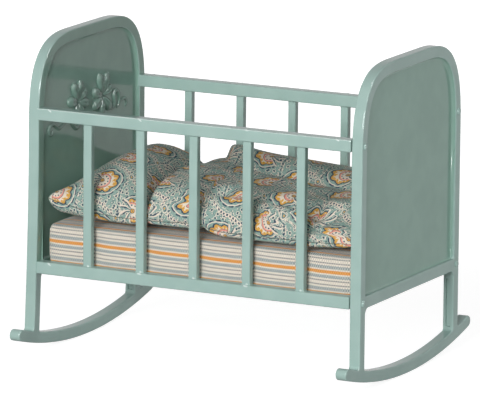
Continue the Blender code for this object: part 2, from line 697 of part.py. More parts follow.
def main():
    clear_objects()
    parts = new_collection("doll_cradle")
    cutters = new_collection("doll_cradle_cutters")
    enamel = new_material("sage_enamel", ENAMEL_COLOUR, 0.3, 0.0)
    ticking = new_material("woven_ticking", TICKING_COLOUR, 0.9, 0.0)
    cotton = new_material("printed_cotton", PRINT_COLOUR, 0.9, 0.0)
    for end, sign in ENDS:
        make_bow(end, sign, enamel, parts, cutters)
        make_cross_rail(end, sign, enamel, parts, cutters)
        make_panel(end, sign, enamel, parts, cutters)
        make_rocker(end, sign, enamel, parts)
        for side, level, y, z in rivet_places():
            make_rivet(end + "_rivet_" + side + "_" + level, sign, y, z, enamel, parts)
    for side, side_sign in SIDES:
        for level, top in LEVELS:
            make_rail(side, side_sign, level, top, enamel, parts, cutters)
        for number, x in enumerate(spindle_places()):
            make_spindle(side + "_spindle_" + str(number + 1), x, side_sign * RAIL_CENTRE_Y, enamel, parts)
    make_base(enamel, parts)
    soft_form("mattress", (11, 8, 3), mattress_point, ticking, parts)
    soft_form("pillow", (8, 10, 2), pillow_point, cotton, parts)
    soft_form("duvet", (12, 9, 2), duvet_point, cotton, parts)


main()
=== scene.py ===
# A dolls' rocking cradle: stove-enamelled steel ends and sides, a mattress in woven ticking,
# and a pillow and a duvet in printed cotton. Lengths are metres unless a note says millimetres.
import math

import bmesh
import bpy
import numpy as np
from mathutils import Matrix, Vector


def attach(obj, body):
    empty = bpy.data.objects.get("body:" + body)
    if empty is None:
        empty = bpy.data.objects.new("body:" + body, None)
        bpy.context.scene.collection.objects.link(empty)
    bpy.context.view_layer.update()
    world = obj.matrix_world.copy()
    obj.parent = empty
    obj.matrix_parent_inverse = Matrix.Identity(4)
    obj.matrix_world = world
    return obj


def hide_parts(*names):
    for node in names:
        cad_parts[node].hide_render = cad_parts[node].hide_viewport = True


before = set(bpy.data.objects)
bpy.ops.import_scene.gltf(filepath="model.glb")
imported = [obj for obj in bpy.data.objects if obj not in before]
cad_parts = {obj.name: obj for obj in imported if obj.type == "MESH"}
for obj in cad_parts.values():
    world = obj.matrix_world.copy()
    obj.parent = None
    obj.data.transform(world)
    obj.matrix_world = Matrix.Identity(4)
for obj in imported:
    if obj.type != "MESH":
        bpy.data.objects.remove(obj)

mm = 0.001
scene = bpy.context.scene
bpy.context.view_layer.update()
print("frame loaded,", len(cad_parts), "nodes")


# Helpers

def linearColour(hexCode):
    # sRGB hex to the linear values that the shaders want
    parts = [int(hexCode[place:place + 2], 16) / 255 for place in (1, 3, 5)]
    return [c / 12.92 if c <= 0.04045 else ((c + 0.055) / 1.055) ** 2.4 for c in parts] + [1]


def addNode(tree, kind, settings=None, inputs=None):
    # settings are the node's own choices, inputs are values or sockets to link
    node = tree.nodes.new("ShaderNode" + kind)
    for name, value in (settings or {}).items():
        setattr(node, name, value)
    for name, value in (inputs or {}).items():
        if isinstance(value, bpy.types.NodeSocket):
            tree.links.new(value, node.inputs[name])
        else:
            node.inputs[name].default_value = value
    return node


def newMaterial(name):
    material = bpy.data.materials.new(name)
    material.use_nodes = True
    material.node_tree.nodes.clear()
    return material, material.node_tree


def runSteps(tree, known, kind, steps):
    # adds one node for each step: its name, its operation, then numbers or the names of earlier results
    for name, operation, *terms in steps:
        terms = {slot: known[term] if isinstance(term, str) else term for slot, term in enumerate(terms)}
        known[name] = addNode(tree, kind, {"operation": operation}, terms).outputs[0]


def finishPiece(piece, material, body, slot, *nodes):
    piece.data.materials.append(material)
    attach(piece, body)
    if nodes:
        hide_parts(*nodes)
    return piece


def meshPiece(name, shape):
    mesh = bpy.data.meshes.new(name)
    shape.to_mesh(mesh)
    shape.free()
    piece = bpy.data.objects.new(name, mesh)
    scene.collection.objects.link(piece)
    return piece


def smoothFlats(piece, angle=40):
    # smooth shading whose flat faces stay flat up to their rounded edges
    piece.data.shade_smooth()
    piece.data.set_sharp_from_angle(angle=math.radians(angle))
    weighted = piece.modifiers.new("flats", "WEIGHTED_NORMAL")
    weighted.keep_sharp = True
    weighted.weight = 80


def subdivideOnce(piece):
    smooth = piece.modifiers.new("smooth", "SUBSURF")
    smooth.levels = smooth.render_levels = 1


# Camera, solved from the straight edges of the photograph

view = {
    "azimuth": 26.778,          # degrees from the front, towards the foot end
    "elevation": 11.389,
    "roll": 0.502,
    "distance": 2.0252,
    "target": (-0.001704, 0, 0.050651),
    "lens": 466.66,             # mm, for a sensor as wide as the next value
    "sensor": 36,
    "clip": (0.05, 30),
}


def placeCamera():
    azimuth, elevation, roll = (math.radians(view[key]) for key in ("azimuth", "elevation", "roll"))
    back = Vector((math.sin(azimuth) * math.cos(elevation), -math.cos(azimuth) * math.cos(elevation),
                   math.sin(elevation)))
    right = Vector((math.cos(azimuth), math.sin(azimuth), 0))
    turned = Matrix.Rotation(roll, 3, back) @ Matrix((right, back.cross(right), back)).transposed()
    camera = bpy.data.objects.new("camera", bpy.data.cameras.new("camera"))
    scene.collection.objects.link(camera)
    place = Matrix.Translation(Vector(view["target"]) + back * view["distance"])
    camera.matrix_world = place @ turned.to_4x4()
    camera.data.sensor_width = view["sensor"]
    camera.data.lens = view["lens"]
    camera.data.clip_start, camera.data.clip_end = view["clip"]
    scene.camera = camera


placeCamera()

# Studio: a white sweep, one large key light in front, weaker lamps round the back and a weak fill

studio = {
    "fill": 0.11,               # plain level of the sky for matt surfaces
    "floorColour": "#a0a0a0",
    "floorHalf": 8,
    "floorGlow": 0.87,          # what the camera and the mirrors see of the sweep by itself
    "glowNear": 0.10, "glowFar": 0.35,   # further out than this it is plain white
    # each lamp: its direction and distance from a point at this height, its size and power
    "lampsAim": 0.05,
    "key": ((0.11, -0.92, 0.27), 1.3, (0.7, 0.4), 16.6),
    "side": ((1.0, 0.0, 0.02), 1.0, (0.10, 0.10), 2.4),
    # two low lamps for the sides that face away from the camera
    "rear": (((-0.12, 0.98, 0.10), 1.3, (0.7, 0.4), 8.5), ((-0.98, 0.10, 0.10), 1.0, (0.4, 0.3), 4.2)),
    # lamps that show only as glints: a tall strip for the rounded edges, and three small ones
    "glints": (((0.84, -0.42, 0.36), 1.2, (0.10, 0.62), 9.0), ((0.32, -0.62, 0.72), 1.2, (0.16, 0.16), 1.0),
               ((0.40, -0.04, 0.92), 1.2, (0.20, 0.20), 4.5), ((0.76, 0.02, 0.64), 1.2, (0.20, 0.20), 4.5)),
    # how bright the sweep looks in the enamel, in front of the cradle and behind it, and the sky;
    # the sweep goes from one to the other within this distance of the middle
    "mirrorDepth": 0.06,
    "frontMirrored": 0.30,
    "backMirrored": 0.62,
    "skyMirrored": 0.74,
}


def seenDirectly(tree, mirrored):
    # 1 for the camera and for glass, less for mirrors, 0 for soft light
    path = addNode(tree, "LightPath")
    mirror = addNode(tree, "Math", {"operation": "MULTIPLY"},
                     {0: path.outputs["Is Glossy Ray"], 1: mirrored})
    both = addNode(tree, "Math", {"operation": "MAXIMUM"},
                   {0: path.outputs["Is Camera Ray"], 1: mirror.outputs[0]})
    return addNode(tree, "Math", {"operation": "MAXIMUM"},
                   {0: both.outputs[0], 1: path.outputs["Is Transmission Ray"]}).outputs[0]


def areaLight(name, towards, distance, size, power):
    lamp = bpy.data.lights.new(name, "AREA")
    lamp.shape = "RECTANGLE"
    lamp.size, lamp.size_y = size
    lamp.energy = power
    piece = bpy.data.objects.new(name, lamp)
    scene.collection.objects.link(piece)
    direction = Vector(towards).normalized()
    piece.location = Vector((0, 0, studio["lampsAim"])) + direction * distance
    piece.rotation_mode = "QUATERNION"
    piece.rotation_quaternion = direction.to_track_quat("Z", "Y")
    return piece


def buildStudio():
    world = bpy.data.worlds.new("studio")
    scene.world = world
    world.use_nodes = True
    tree = world.node_tree
    tree.nodes.clear()
    seen = seenDirectly(tree, studio["skyMirrored"])
    level = addNode(tree, "Math", {"operation": "MAXIMUM"}, {0: seen, 1: studio["fill"]})
    sky = addNode(tree, "Background", None, {"Color": (1, 1, 1, 1), "Strength": level.outputs[0]})
    addNode(tree, "OutputWorld", None, {"Surface": sky.outputs[0]})

    # pale paper sweep, matt, pure white away from the cradle
    paper, tree = newMaterial("paperSweep")
    matt = addNode(tree, "BsdfDiffuse", None, {"Color": linearColour(studio["floorColour"])})
    place = addNode(tree, "TexCoord").outputs["Object"]
    parts = addNode(tree, "SeparateXYZ", None, {0: place})
    depth = addNode(tree, "MapRange", None, {
        "Value": parts.outputs[1], "From Min": -studio["mirrorDepth"], "From Max": studio["mirrorDepth"],
        "To Min": studio["frontMirrored"], "To Max": studio["backMirrored"]})
    away = addNode(tree, "VectorMath", {"operation": "LENGTH"}, {0: place})
    level = addNode(tree, "MapRange", None, {
        "Value": away.outputs["Value"], "From Min": studio["glowNear"], "From Max": studio["glowFar"],
        "To Min": studio["floorGlow"], "To Max": 1.0})
    glow = addNode(tree, "Math", {"operation": "MULTIPLY"}, {
        0: seenDirectly(tree, depth.outputs[0]), 1: level.outputs[0]})
    shine = addNode(tree, "Emission", None, {"Color": (1, 1, 1, 1), "Strength": glow.outputs[0]})
    both = addNode(tree, "AddShader", None, {0: matt.outputs[0], 1: shine.outputs[0]})
    addNode(tree, "OutputMaterial", None, {"Surface": both.outputs[0]})
    shape = bmesh.new()
    bmesh.ops.create_grid(shape, x_segments=1, y_segments=1, size=studio["floorHalf"])
    floor = meshPiece("floor", shape)
    floor.data.materials.append(paper)

    areaLight("key", *studio["key"])
    areaLight("side", *studio["side"])
    for number, lamp in enumerate(studio["rear"]):
        areaLight("rear" + str(number + 1), *lamp).visible_glossy = False
    for number, lamp in enumerate(studio["glints"]):
        areaLight("glint" + str(number + 1), *lamp).visible_diffuse = False


buildStudio()
scene.view_settings.view_transform = "Standard"
print("camera and studio done")

# Enamel

enamel = {
    "coat": "#9fb9b2",
    "deep": "#99b4ad",          # where the coat is thicker
    "sheet": "#8aac9f",         # on the pressed sheets: a darker, greener copy of the coat, as painted shade; below it where it is thicker there
    "sheetDeep": "#85a79a",
    "relief": "#7d9b90",        # round the pressed flowers, darker still as painted shade
    "reliefDeep": "#769489",
    "wearGlintPale": "#b4c8c2",          # rubbed thin on edges and jig marks, and painted glints there
    "wearGlintWhite": "#dce6e3",
    "roughness": 0.10,          # stoved gloss enamel
    "patchSize": 9,             # mm, slow change of the coat's thickness
    "peelSize": 1.1,            # mm, orange peel of a sprayed coat
    "peelHeight": 0.006,        # mm
    "markSize": 0.8,            # mm, of the patches on a jig mark
}


def makeEnamel(name, thin, thick):
    # Stove enamel on brazed steel, sprayed and baked: a smooth gloss coat, slightly wavy,
    # a little deeper in colour where it gathered, with soft glints on every rounded edge.
    material, tree = newMaterial(name)
    place = addNode(tree, "TexCoord").outputs["Object"]
    patches = addNode(tree, "TexNoise", None, {"Vector": place, "Scale": 1 / (enamel["patchSize"] * mm),
                                               "Detail": 2.0})
    share = addNode(tree, "MapRange", None, {"Value": patches.outputs["Fac"], "From Min": 0.35,
                                             "From Max": 0.65})
    # the Mix node repeats its socket names for each kind of value, so its inputs go by place
    colour = addNode(tree, "Mix", {"data_type": "RGBA"}, {
        0: share.outputs[0], 6: linearColour(enamel[thin]), 7: linearColour(enamel[thick])})
    peel = addNode(tree, "TexNoise", None, {"Vector": place, "Scale": 1 / (enamel["peelSize"] * mm),
                                            "Detail": 1.0})
    waves = addNode(tree, "Bump", None, {"Height": peel.outputs["Fac"], "Strength": 0.6,
                                         "Distance": enamel["peelHeight"] * mm})
    gloss = addNode(tree, "BsdfPrincipled", None, {
        "Base Color": colour.outputs[2], "Roughness": enamel["roughness"], "IOR": 1.5,
        "Normal": waves.outputs[0]})
    addNode(tree, "OutputMaterial", None, {"Surface": gloss.outputs[0]})
    return material


stoveEnamel = makeEnamel("stoveEnamel", "coat", "deep")
# the end sheets and the head end's inner face get a darker, greener copy of the coat as painted shade
shadedSheetEnamel = makeEnamel("shadedSheetEnamel", "sheet", "sheetDeep")
# and a darker copy still on the pressed flowers: painted shade
shadedReliefEnamel = makeEnamel("shadedReliefEnamel", "relief", "reliefDeep")


def makeWearAndGlintEnamel():
    # Enamel worn thin over a jig mark and on scuffs, and painted glints there and on the foot beads and the
    # front top rail's edge: nearly white, glossy, so that it reads as a small glint.
    material, tree = newMaterial("wearAndGlintEnamel")
    place = addNode(tree, "TexCoord").outputs["Object"]
    patches = addNode(tree, "TexNoise", None, {"Vector": place, "Scale": 1 / (enamel["markSize"] * mm),
                                               "Detail": 2.0})
    colour = addNode(tree, "Mix", {"data_type": "RGBA"}, {
        0: patches.outputs["Fac"], 6: linearColour(enamel["wearGlintPale"]), 7: linearColour(enamel["wearGlintWhite"])})
    gloss = addNode(tree, "BsdfPrincipled", None, {
        "Base Color": colour.outputs[2], "Roughness": 2 * enamel["roughness"], "IOR": 1.5})
    addNode(tree, "OutputMaterial", None, {"Surface": gloss.outputs[0]})
    return material


wearAndGlintEnamel = makeWearAndGlintEnamel()

# Ends: legs, arch, cross rail and rocker are brazed into one frame

end = {
    "length": 120 * mm,
    "bar": 3.8 * mm,
    "halfWidth": 37 * mm,
    "height": 104.4 * mm,
    "archFlat": 10 * mm,        # half of the straight run along the top
    "archRise": 30.8 * mm,
    "archPower": 2 / 3,         # a little squarer than an ellipse
    "archSteps": 36,
    "edge": 0.45 * mm,          # rounding along the bar
    "railTop": 31.3 * mm,
    "rail": 4.0 * mm,
    "rockerRadius": 168 * mm,
    "rockerReach": 47 * mm,
    "underFillet": 2.2 * mm,    # brazing under the cross rail
    "footFillet": 0.9 * mm,     # where a leg stands on its rocker
    "cornerFillet": 0.8 * mm,   # lower corners of the panel's window
    "groove": 1.25 * mm,        # width of the groove down each leg
    "grooveDepth": 0.6 * mm,
    "grooveSlope": 0.12 * mm,   # of each of its sides
    "panel": 0.9 * mm,
    "panelTuck": 0.25 * mm,     # of the sheet's rim, inside the bar
    "panelFillet": 1.1 * mm,    # soft step where the sheet meets the bar
    "panelSteps": 7,
    "lean": 1.75 * mm,          # of the head end's feet, outwards, from this height down
    "leanFrom": 70 * mm,
    "grooveFoot": 12 * mm,      # height at which a leg's grooved face has started
    "grooveFace": 10 * mm * mm,      # area that only such a face has
    "bendsFrom": 6 * mm,        # the leaning feet are cut into rings from this height up
    "bends": 15,
}


def quarterTurns(steps):
    return [math.pi / 2 * step / steps for step in range(steps + 1)]


def archHalf(inset):
    # right half of the arch, from the leg up to the straight top
    across = end["halfWidth"] - end["archFlat"]
    spring = end["height"] - end["archRise"]
    points = []
    for turn in quarterTurns(end["archSteps"]):
        y, z = math.cos(turn) ** end["archPower"], math.sin(turn) ** end["archPower"]
        slope = Vector((y * y / across, z * z / end["archRise"])).normalized()
        points.append((end["archFlat"] + across * y - inset * slope.x,
                       spring + end["archRise"] * z - inset * slope.y))
    return points


def arcPoints(y, z, radius, start, stop, steps=6):
    turns = [math.radians(start + (stop - start) * step / steps) for step in range(steps + 1)]
    return [(y + radius * math.cos(turn), z + radius * math.sin(turn)) for turn in turns]


def mirrored(points):
    # the right half, then its mirror image
    return points + [(-y, z) for y, z in reversed(points)]


def footArc(y, side):
    # the fillet between a leg's face at y and the rocker's upper face
    radius = end["footFillet"]
    top = end["rockerRadius"] - end["bar"] - radius
    centreY = y + side * radius
    centreZ = end["rockerRadius"] - math.sqrt(top ** 2 - centreY ** 2)
    down = math.degrees(math.atan2(centreZ - end["rockerRadius"], centreY))
    if side > 0:
        return arcPoints(centreY, centreZ, radius, 360 + down, 180)
    return arcPoints(centreY, centreZ, radius, 0, down)


def endOutlines():
    inner = end["halfWidth"] - end["bar"]
    middle = end["rockerRadius"] - end["bar"] / 2
    reach = math.asin((end["rockerReach"] - end["bar"] / 2) / middle)
    tipY, tipZ = middle * math.sin(reach), end["rockerRadius"] - middle * math.cos(reach)
    tilt = math.degrees(reach)
    under = [(end["rockerRadius"] * math.sin(reach * step / 24),
              end["rockerRadius"] * (1 - math.cos(reach * step / 24))) for step in range(24)]
    upper = end["rockerRadius"] - end["bar"]
    footStart = footArc(end["halfWidth"], 1)[0][0]
    over = [(y, end["rockerRadius"] - math.sqrt(upper ** 2 - y ** 2))
            for y in np.linspace(upper * math.sin(reach), footStart, 6)[1:-1]]
    outside = under + arcPoints(tipY, tipZ, end["bar"] / 2, tilt - 90, tilt + 90, 10) + over
    outside += footArc(end["halfWidth"], 1) + archHalf(0)

    corner = end["cornerFillet"]
    window = arcPoints(inner - corner, end["railTop"] + corner, corner, -90, 0) + archHalf(end["bar"])

    fillet = end["underFillet"]
    gapFoot = footArc(inner, -1)
    floorPoints = [(y, end["rockerRadius"] - math.sqrt(upper ** 2 - y ** 2))
                   for y in np.linspace(0, gapFoot[-1][0], 16)[1:-1]]
    gap = floorPoints + list(reversed(gapFoot))
    gap += arcPoints(inner - fillet, end["railTop"] - end["rail"] - fillet, fillet, 0, 90)
    return [mirrored(outside)[1:], mirrored(window), mirrored(gap)]


def curveMesh(curve):
    # the curve as a mesh; the curve itself goes
    holder = bpy.data.objects.new(curve.name, curve)
    scene.collection.objects.link(holder)
    bpy.context.view_layer.update()
    mesh = bpy.data.meshes.new_from_object(holder.evaluated_get(bpy.context.evaluated_depsgraph_get()))
    bpy.data.objects.remove(holder)
    bpy.data.curves.remove(curve)
    return mesh


def flatCurve(name, outlines, thickness, edge):
    # the outlines' Y and Z are the curve's own X and Y, and its thickness runs along X afterwards
    curve = bpy.data.curves.new(name, "CURVE")
    curve.dimensions = "2D"
    curve.fill_mode = "BOTH"
    curve.extrude = thickness / 2 - edge
    curve.bevel_depth = edge
    curve.bevel_resolution = 3
    curve.offset = -edge
    for outline in outlines:
        spline = curve.splines.new("POLY")
        spline.points.add(len(outline) - 1)
        for point, (y, z) in zip(spline.points, outline):
            point.co = (y, z, 0, 1)
        spline.use_cyclic_u = True
    mesh = curveMesh(curve)
    shape = bmesh.new()
    shape.from_mesh(mesh)
    bpy.data.meshes.remove(mesh)
    bmesh.ops.remove_doubles(shape, verts=shape.verts, dist=0.002 * mm)
    bmesh.ops.recalc_face_normals(shape, faces=shape.faces)
    return shape


upright = Matrix(((0, 0, 1), (1, 0, 0), (0, 1, 0))).to_4x4()


def makeEnd(name, sign):
    shape = flatCurve(name, endOutlines(), end["bar"], end["edge"])
    middle = sign * (end["length"] - end["bar"]) / 2
    bmesh.ops.transform(shape, matrix=Matrix.Translation((middle, 0, 0)) @ upright, verts=shape.verts)
    inner = end["halfWidth"] - end["bar"]
    railBottom = end["railTop"] - end["rail"]
    legFaces = [face for face in shape.faces if len(face.verts) == 4 and abs(face.normal.y) > 0.99
                and abs(abs(face.calc_center_median().y) - inner) < 0.01 * mm
                and end["grooveFoot"] < face.calc_center_median().z < railBottom
                and face.calc_area() > end["grooveFace"]]
    margin = (end["bar"] - 2 * end["edge"] - end["groove"]) / 2
    bmesh.ops.inset_individual(shape, faces=legFaces, thickness=margin, depth=0)
    bmesh.ops.inset_individual(shape, faces=legFaces, thickness=end["grooveSlope"], depth=-end["grooveDepth"])
    if sign < 0:
        # this end has been knocked: its feet stand a little further out
        for height in np.linspace(end["bendsFrom"], end["leanFrom"], end["bends"]):
            bmesh.ops.bisect_plane(shape, geom=shape.verts[:] + shape.edges[:] + shape.faces[:],
                                   plane_co=(0, 0, height), plane_no=(0, 0, 1))
        for vert in shape.verts:
            below = max(0, 1 - vert.co.z / end["leanFrom"])
            vert.co.x -= end["lean"] * below ** 1.6
        # the head end's faces towards the cradle above its cross rail get the darker sheet enamel: painted
        # shade
        for face in shape.faces:
            if face.normal.x > 0.9 and face.calc_center_median().z > railBottom:
                face.material_index = 1
    piece = meshPiece(name, shape)
    smoothFlats(piece)
    finishPiece(piece, stoveEnamel, "cradle", "enamel")
    piece.data.materials.append(shadedSheetEnamel)
    return piece


def panelOutline(inset):
    inner = end["halfWidth"] - end["bar"] - inset
    return mirrored([(inner, end["railTop"] + inset)] + archHalf(end["bar"] + inset))


relief = {
    "height": 1.7 * mm,
    "fatness": 1.22,
    "crease": 0.38,             # depth down a petal's middle, as a share of its height
    "creaseWidth": 0.16,        # as a share of its width
    "ripple": 0.13,             # along a petal, as a share of its height
    "eye": 0.6 * mm,            # from a blossom's centre to where its petals start
    "sink": 0.15 * mm,          # into the sheet
    "button": (0.9 * mm, 1.3 * mm, 1.3 * mm),      # of a blossom's middle
    # each blossom: its centre's y and z, then angle in degrees, length and width of its petals, mm
    "blossoms": (
        ((9.1, 78.7), ((108, 8.2, 3.5), (66, 8.0, 3.5), (21, 6.4, 3.0), (-45, 7.4, 3.4), (-100, 6.4, 3.2),
                       (207, 7.6, 3.3), (162, 7.6, 3.5))),
        ((-7.8, 79.3), ((119, 7.6, 3.4), (79, 7.3, 3.3), (38, 6.2, 3.1), (-12, 7.0, 3.2), (-62, 6.6, 3.0),
                        (-112, 6.6, 3.2), (172, 7.2, 3.5))),
    ),
    # curls and stems: half width in mm, then places in y and z, mm
    "stems": (
        (0.75, ((13.4, 74.6), (15.2, 73.2), (17.0, 73.4), (18.1, 74.9), (17.0, 76.9), (17.3, 78.6),
                (18.9, 79.3), (20.6, 78.0), (21.4, 75.8), (20.8, 73.8), (19.3, 73.2))),
        (0.55, ((21.0, 75.0), (22.6, 74.9), (24.3, 75.7), (26.0, 75.0), (26.6, 73.5), (25.4, 72.6))),
        (0.70, ((-13.2, 76.0), (-15.4, 73.9), (-18.0, 73.6), (-20.4, 72.2), (-22.4, 73.1), (-24.4, 74.7),
                (-26.8, 74.4), (-28.1, 72.8), (-27.2, 71.1), (-25.4, 71.0), (-24.7, 72.2))),
        (0.85, ((-12.6, 73.4), (-11.2, 71.9), (-9.3, 70.4), (-7.4, 71.0), (-6.4, 72.8))),
        (0.60, ((2.2, 72.6), (0.4, 71.8), (-1.4, 72.6), (-2.2, 74.4))),
    ),
}


def addPetal(shape, face, centre, angle, length, width):
    # a pressed drop, wider towards its tip, with a crease down the middle
    made = bmesh.ops.create_uvsphere(shape, u_segments=24, v_segments=24, radius=1,
                                     matrix=Matrix.Rotation(math.pi / 2, 4, "Y"))["verts"]
    turn = math.radians(angle)
    for vert in made:
        along = (vert.co.x + 1) / 2
        across = vert.co.y * width / 2 * (0.62 + 0.5 * along) * relief["fatness"]
        crease = 1 - relief["crease"] * math.exp(-(vert.co.y / relief["creaseWidth"]) ** 2) \
            * math.sin(math.pi * min(along * 1.1, 1))
        ripple = 1 + relief["ripple"] * math.sin(along * 17 + angle) * along
        up = vert.co.z * relief["height"] * (0.62 + 0.46 * along) * crease * ripple
        up = up if up > 0 else max(up * 0.3, -relief["sink"])
        far = relief["eye"] + along * (length * mm - relief["eye"])
        y = centre[0] * mm + far * math.cos(turn) - across * mm * math.sin(turn)
        z = centre[1] * mm + far * math.sin(turn) + across * mm * math.cos(turn)
        vert.co = (face + up, y, z)


def addStem(shape, face, half, points):
    # a raised cord that thins to both ends
    curve = bpy.data.curves.new("stem", "CURVE")
    curve.dimensions = "3D"
    curve.bevel_depth = half * mm
    curve.bevel_resolution = 4
    curve.use_fill_caps = True
    curve.resolution_u = 6
    spline = curve.splines.new("NURBS")
    spline.points.add(len(points) - 1)
    spline.use_endpoint_u = True
    spline.order_u = 4
    for number, (point, (y, z)) in enumerate(zip(spline.points, points)):
        point.co = (0, y * mm, z * mm, 1)
        point.radius = 0.45 + 0.65 * math.sin(math.pi * (number + 0.5) / len(points))
    mesh = curveMesh(curve)
    for vert in mesh.vertices:
        vert.co.x = face + vert.co.x * (1.0 if vert.co.x > 0 else 0.2)
    shape.from_mesh(mesh)
    bpy.data.meshes.remove(mesh)


def addRelief(shape, face):
    for centre, petals in relief["blossoms"]:
        for angle, length, width in petals:
            addPetal(shape, face, centre, angle, length, width)
        size = Matrix.Diagonal((*relief["button"], 1))
        place = Matrix.Translation((face, centre[0] * mm, centre[1] * mm))
        bmesh.ops.create_uvsphere(shape, u_segments=16, v_segments=10, radius=0.5, matrix=place @ size)
    for half, points in relief["stems"]:
        addStem(shape, face, half, points)


def makePanel(name, node, sign):
    # a pressed sheet whose rim rises to the bar in a hollow curve, the same on both sides
    radius = end["panelFillet"]
    middle = sign * (end["length"] - end["bar"]) / 2
    thick = end["panel"] / 2
    shape = bmesh.new()
    outline = [shape.verts.new((middle, y, z)) for y, z in panelOutline(-end["panelTuck"])]
    shape.faces.new(outline)
    rim = bmesh.ops.extrude_face_region(shape, geom=shape.faces[:])["geom"]
    lifted = [part for part in rim if isinstance(part, bmesh.types.BMVert)]
    bmesh.ops.translate(shape, vec=(2 * (thick + radius), 0, 0), verts=lifted)
    bmesh.ops.translate(shape, vec=(-thick - radius, 0, 0), verts=shape.verts)
    bmesh.ops.recalc_face_normals(shape, faces=shape.faces)
    caps = [face for face in shape.faces if abs(face.normal.x) > 0.9]
    bmesh.ops.inset_individual(shape, faces=caps, thickness=end["panelTuck"], depth=0)
    # the hollow quarter runs from the bar's face down to the sheet's
    turns = quarterTurns(end["panelSteps"])
    for a, b in zip(turns, turns[1:]):
        bmesh.ops.inset_individual(shape, faces=caps, thickness=radius * (math.cos(a) - math.cos(b)),
                                   depth=-radius * (math.sin(b) - math.sin(a)))
    if sign < 0:
        plain = set(shape.faces)
        addRelief(shape, middle + thick)
        # the relief's faces get the darker relief enamel: painted shade
        for face in shape.faces:
            face.material_index = 0 if face in plain else 1
    piece = meshPiece(name, shape)
    smoothFlats(piece, 60)
    finishPiece(piece, shadedSheetEnamel, "cradle", "enamel", node)
    piece.data.materials.append(shadedReliefEnamel)


headEnd = makeEnd("headFrame", -1)
footEnd = makeEnd("footFrame", 1)
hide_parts("head_bow", "head_cross_rail", "head_rocker")
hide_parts("foot_bow", "foot_cross_rail", "foot_rocker")
makePanel("headPanel", "head_panel", -1)
makePanel("footPanel", "foot_panel", 1)
print("ends done")

# Sides: square rails, and spindles that flare into their brazing

side = {
    "half": 56.2 * mm,          # between the ends' inner faces
    "rail": 4.0 * mm,
    "middleY": 35 * mm,
    "railTops": {"top": 82.0 * mm, "bottom": 31.3 * mm},
    "edge": 0.45 * mm,
    "tuck": 0.9 * mm,           # of a rail into the head end's bar
    "gap": 0.3 * mm,            # left at the foot end, where the rivet shows
    "spindleWidths": {-1: 3.05 * mm, 1: 2.74 * mm},
    "spindleShifts": {-1: -0.38 * mm, 1: 0},     # the front side sits a little towards the head
    "spindleDepth": 2.5 * mm,
    "spindleEdge": 0.42 * mm,
    "flare": 0.42 * mm,
    "flareSteps": 5,
    "spindleSink": 0.05 * mm,   # into each rail
    "pitch": 19.19 * mm,
    # small raised marks that the jig left, drawn pale as painted glints: mm along X, and the tilt in degrees
    "welds": {"top": ((-52.2, 32), (-19.3, 32), (19.0, 8), (51.2, 20)),
              "bottom": ((-52.2, 32), (-19.2, 6), (19.1, 6))},
    "markInset": (0.13 * mm, 0.16 * mm),      # of the marks' middles, from the rail's front and top
    "markOut": 0.04 * mm,
    "markDrop": 0.010 * mm,     # for each degree of tilt
    "footBeads": 0.45 * mm,     # from each spindle's middle to the bead at its foot, drawn pale as a painted glint
    "beadRise": (0.08 * mm, 0.30 * mm),       # proud of the spindle, and above the rail
    # length, depth and height of a jig mark and of such a bead, and a scuff's depth and height, mm
    "weldSize": (1.8, 0.36, 0.62),
    "beadSize": (0.8, 0.4, 0.7),
    "scuffSize": (0.24, 0.24),
    # pale scuffs along the front top rail's upper edge, worn paint and painted glints: place and length along
    # X, mm
    "scuffs": ((27.0, 3.2), (31.4, 1.4), (34.6, 4.4), (39.5, 1.2), (43.0, 3.8), (47.6, 2.2), (53.4, 1.6),
               (-25.2, 8.5), (-6.0, 1.3), (6.3, 1.0), (12.4, 2.0)),
}


def addBox(shape, low, high):
    size = [b - a for a, b in zip(low, high)]
    centre = Vector([(a + b) / 2 for a, b in zip(low, high)])
    place = Matrix.Translation(centre) @ Matrix.Diagonal(size + [1])
    bmesh.ops.create_cube(shape, size=1, matrix=place)


def makeRail(name, node, sign, level):
    shape = bmesh.new()
    y = sign * side["middleY"]
    half = side["rail"] / 2
    top = side["railTops"][level]
    addBox(shape, (-side["half"] - side["tuck"], y - half, top - side["rail"]),
           (side["half"] - side["gap"], y + half, top))
    bmesh.ops.bevel(shape, geom=shape.edges[:], offset=side["edge"], segments=4, profile=0.5,
                    affect="EDGES", material=-1)
    # the edge's middle, a little proud of the rounding
    edgeY, edgeZ = y + sign * (half - side["markInset"][0]), top - side["markInset"][1]
    marks = [(x, edgeY + sign * side["markOut"], edgeZ - side["markDrop"] * tilt, side["weldSize"], tilt)
             for x, tilt in side["welds"][level]]
    if level == "bottom":
        for number in range(5):
            x = (number - 2) * side["pitch"] + side["spindleShifts"][sign] + side["footBeads"]
            front = y + sign * (side["spindleDepth"] / 2 + side["beadRise"][0])
            marks.append((x / mm, front, top + side["beadRise"][1], side["beadSize"], 0))
    if sign < 0 and level == "top":
        marks += [(x, edgeY, edgeZ, (length, *side["scuffSize"]), 0) for x, length in side["scuffs"]]
        # the edge itself is drawn pale: a painted highlight along it
        for face in shape.faces:
            if 0.45 < face.normal.z < 0.7 and face.normal.y < -0.5:
                face.material_index = 1
    # every mark gets the pale enamel: worn paint on the scuffs, painted glints on the jig marks and the foot
    # beads
    for x, markY, markZ, extent, tilt in marks:
        place = Matrix.Translation((x * mm, markY, markZ)) @ Matrix.Rotation(math.radians(tilt), 4, "Y")
        size = Matrix.Diagonal([part * mm for part in extent] + [1])
        made = bmesh.ops.create_uvsphere(shape, u_segments=12, v_segments=8, radius=0.5, matrix=place @ size)
        for vert in made["verts"]:
            for face in vert.link_faces:
                face.material_index = 1
    piece = meshPiece(name, shape)
    smoothFlats(piece)
    finishPiece(piece, stoveEnamel, "cradle", "enamel", node)
    piece.data.materials.append(wearAndGlintEnamel)


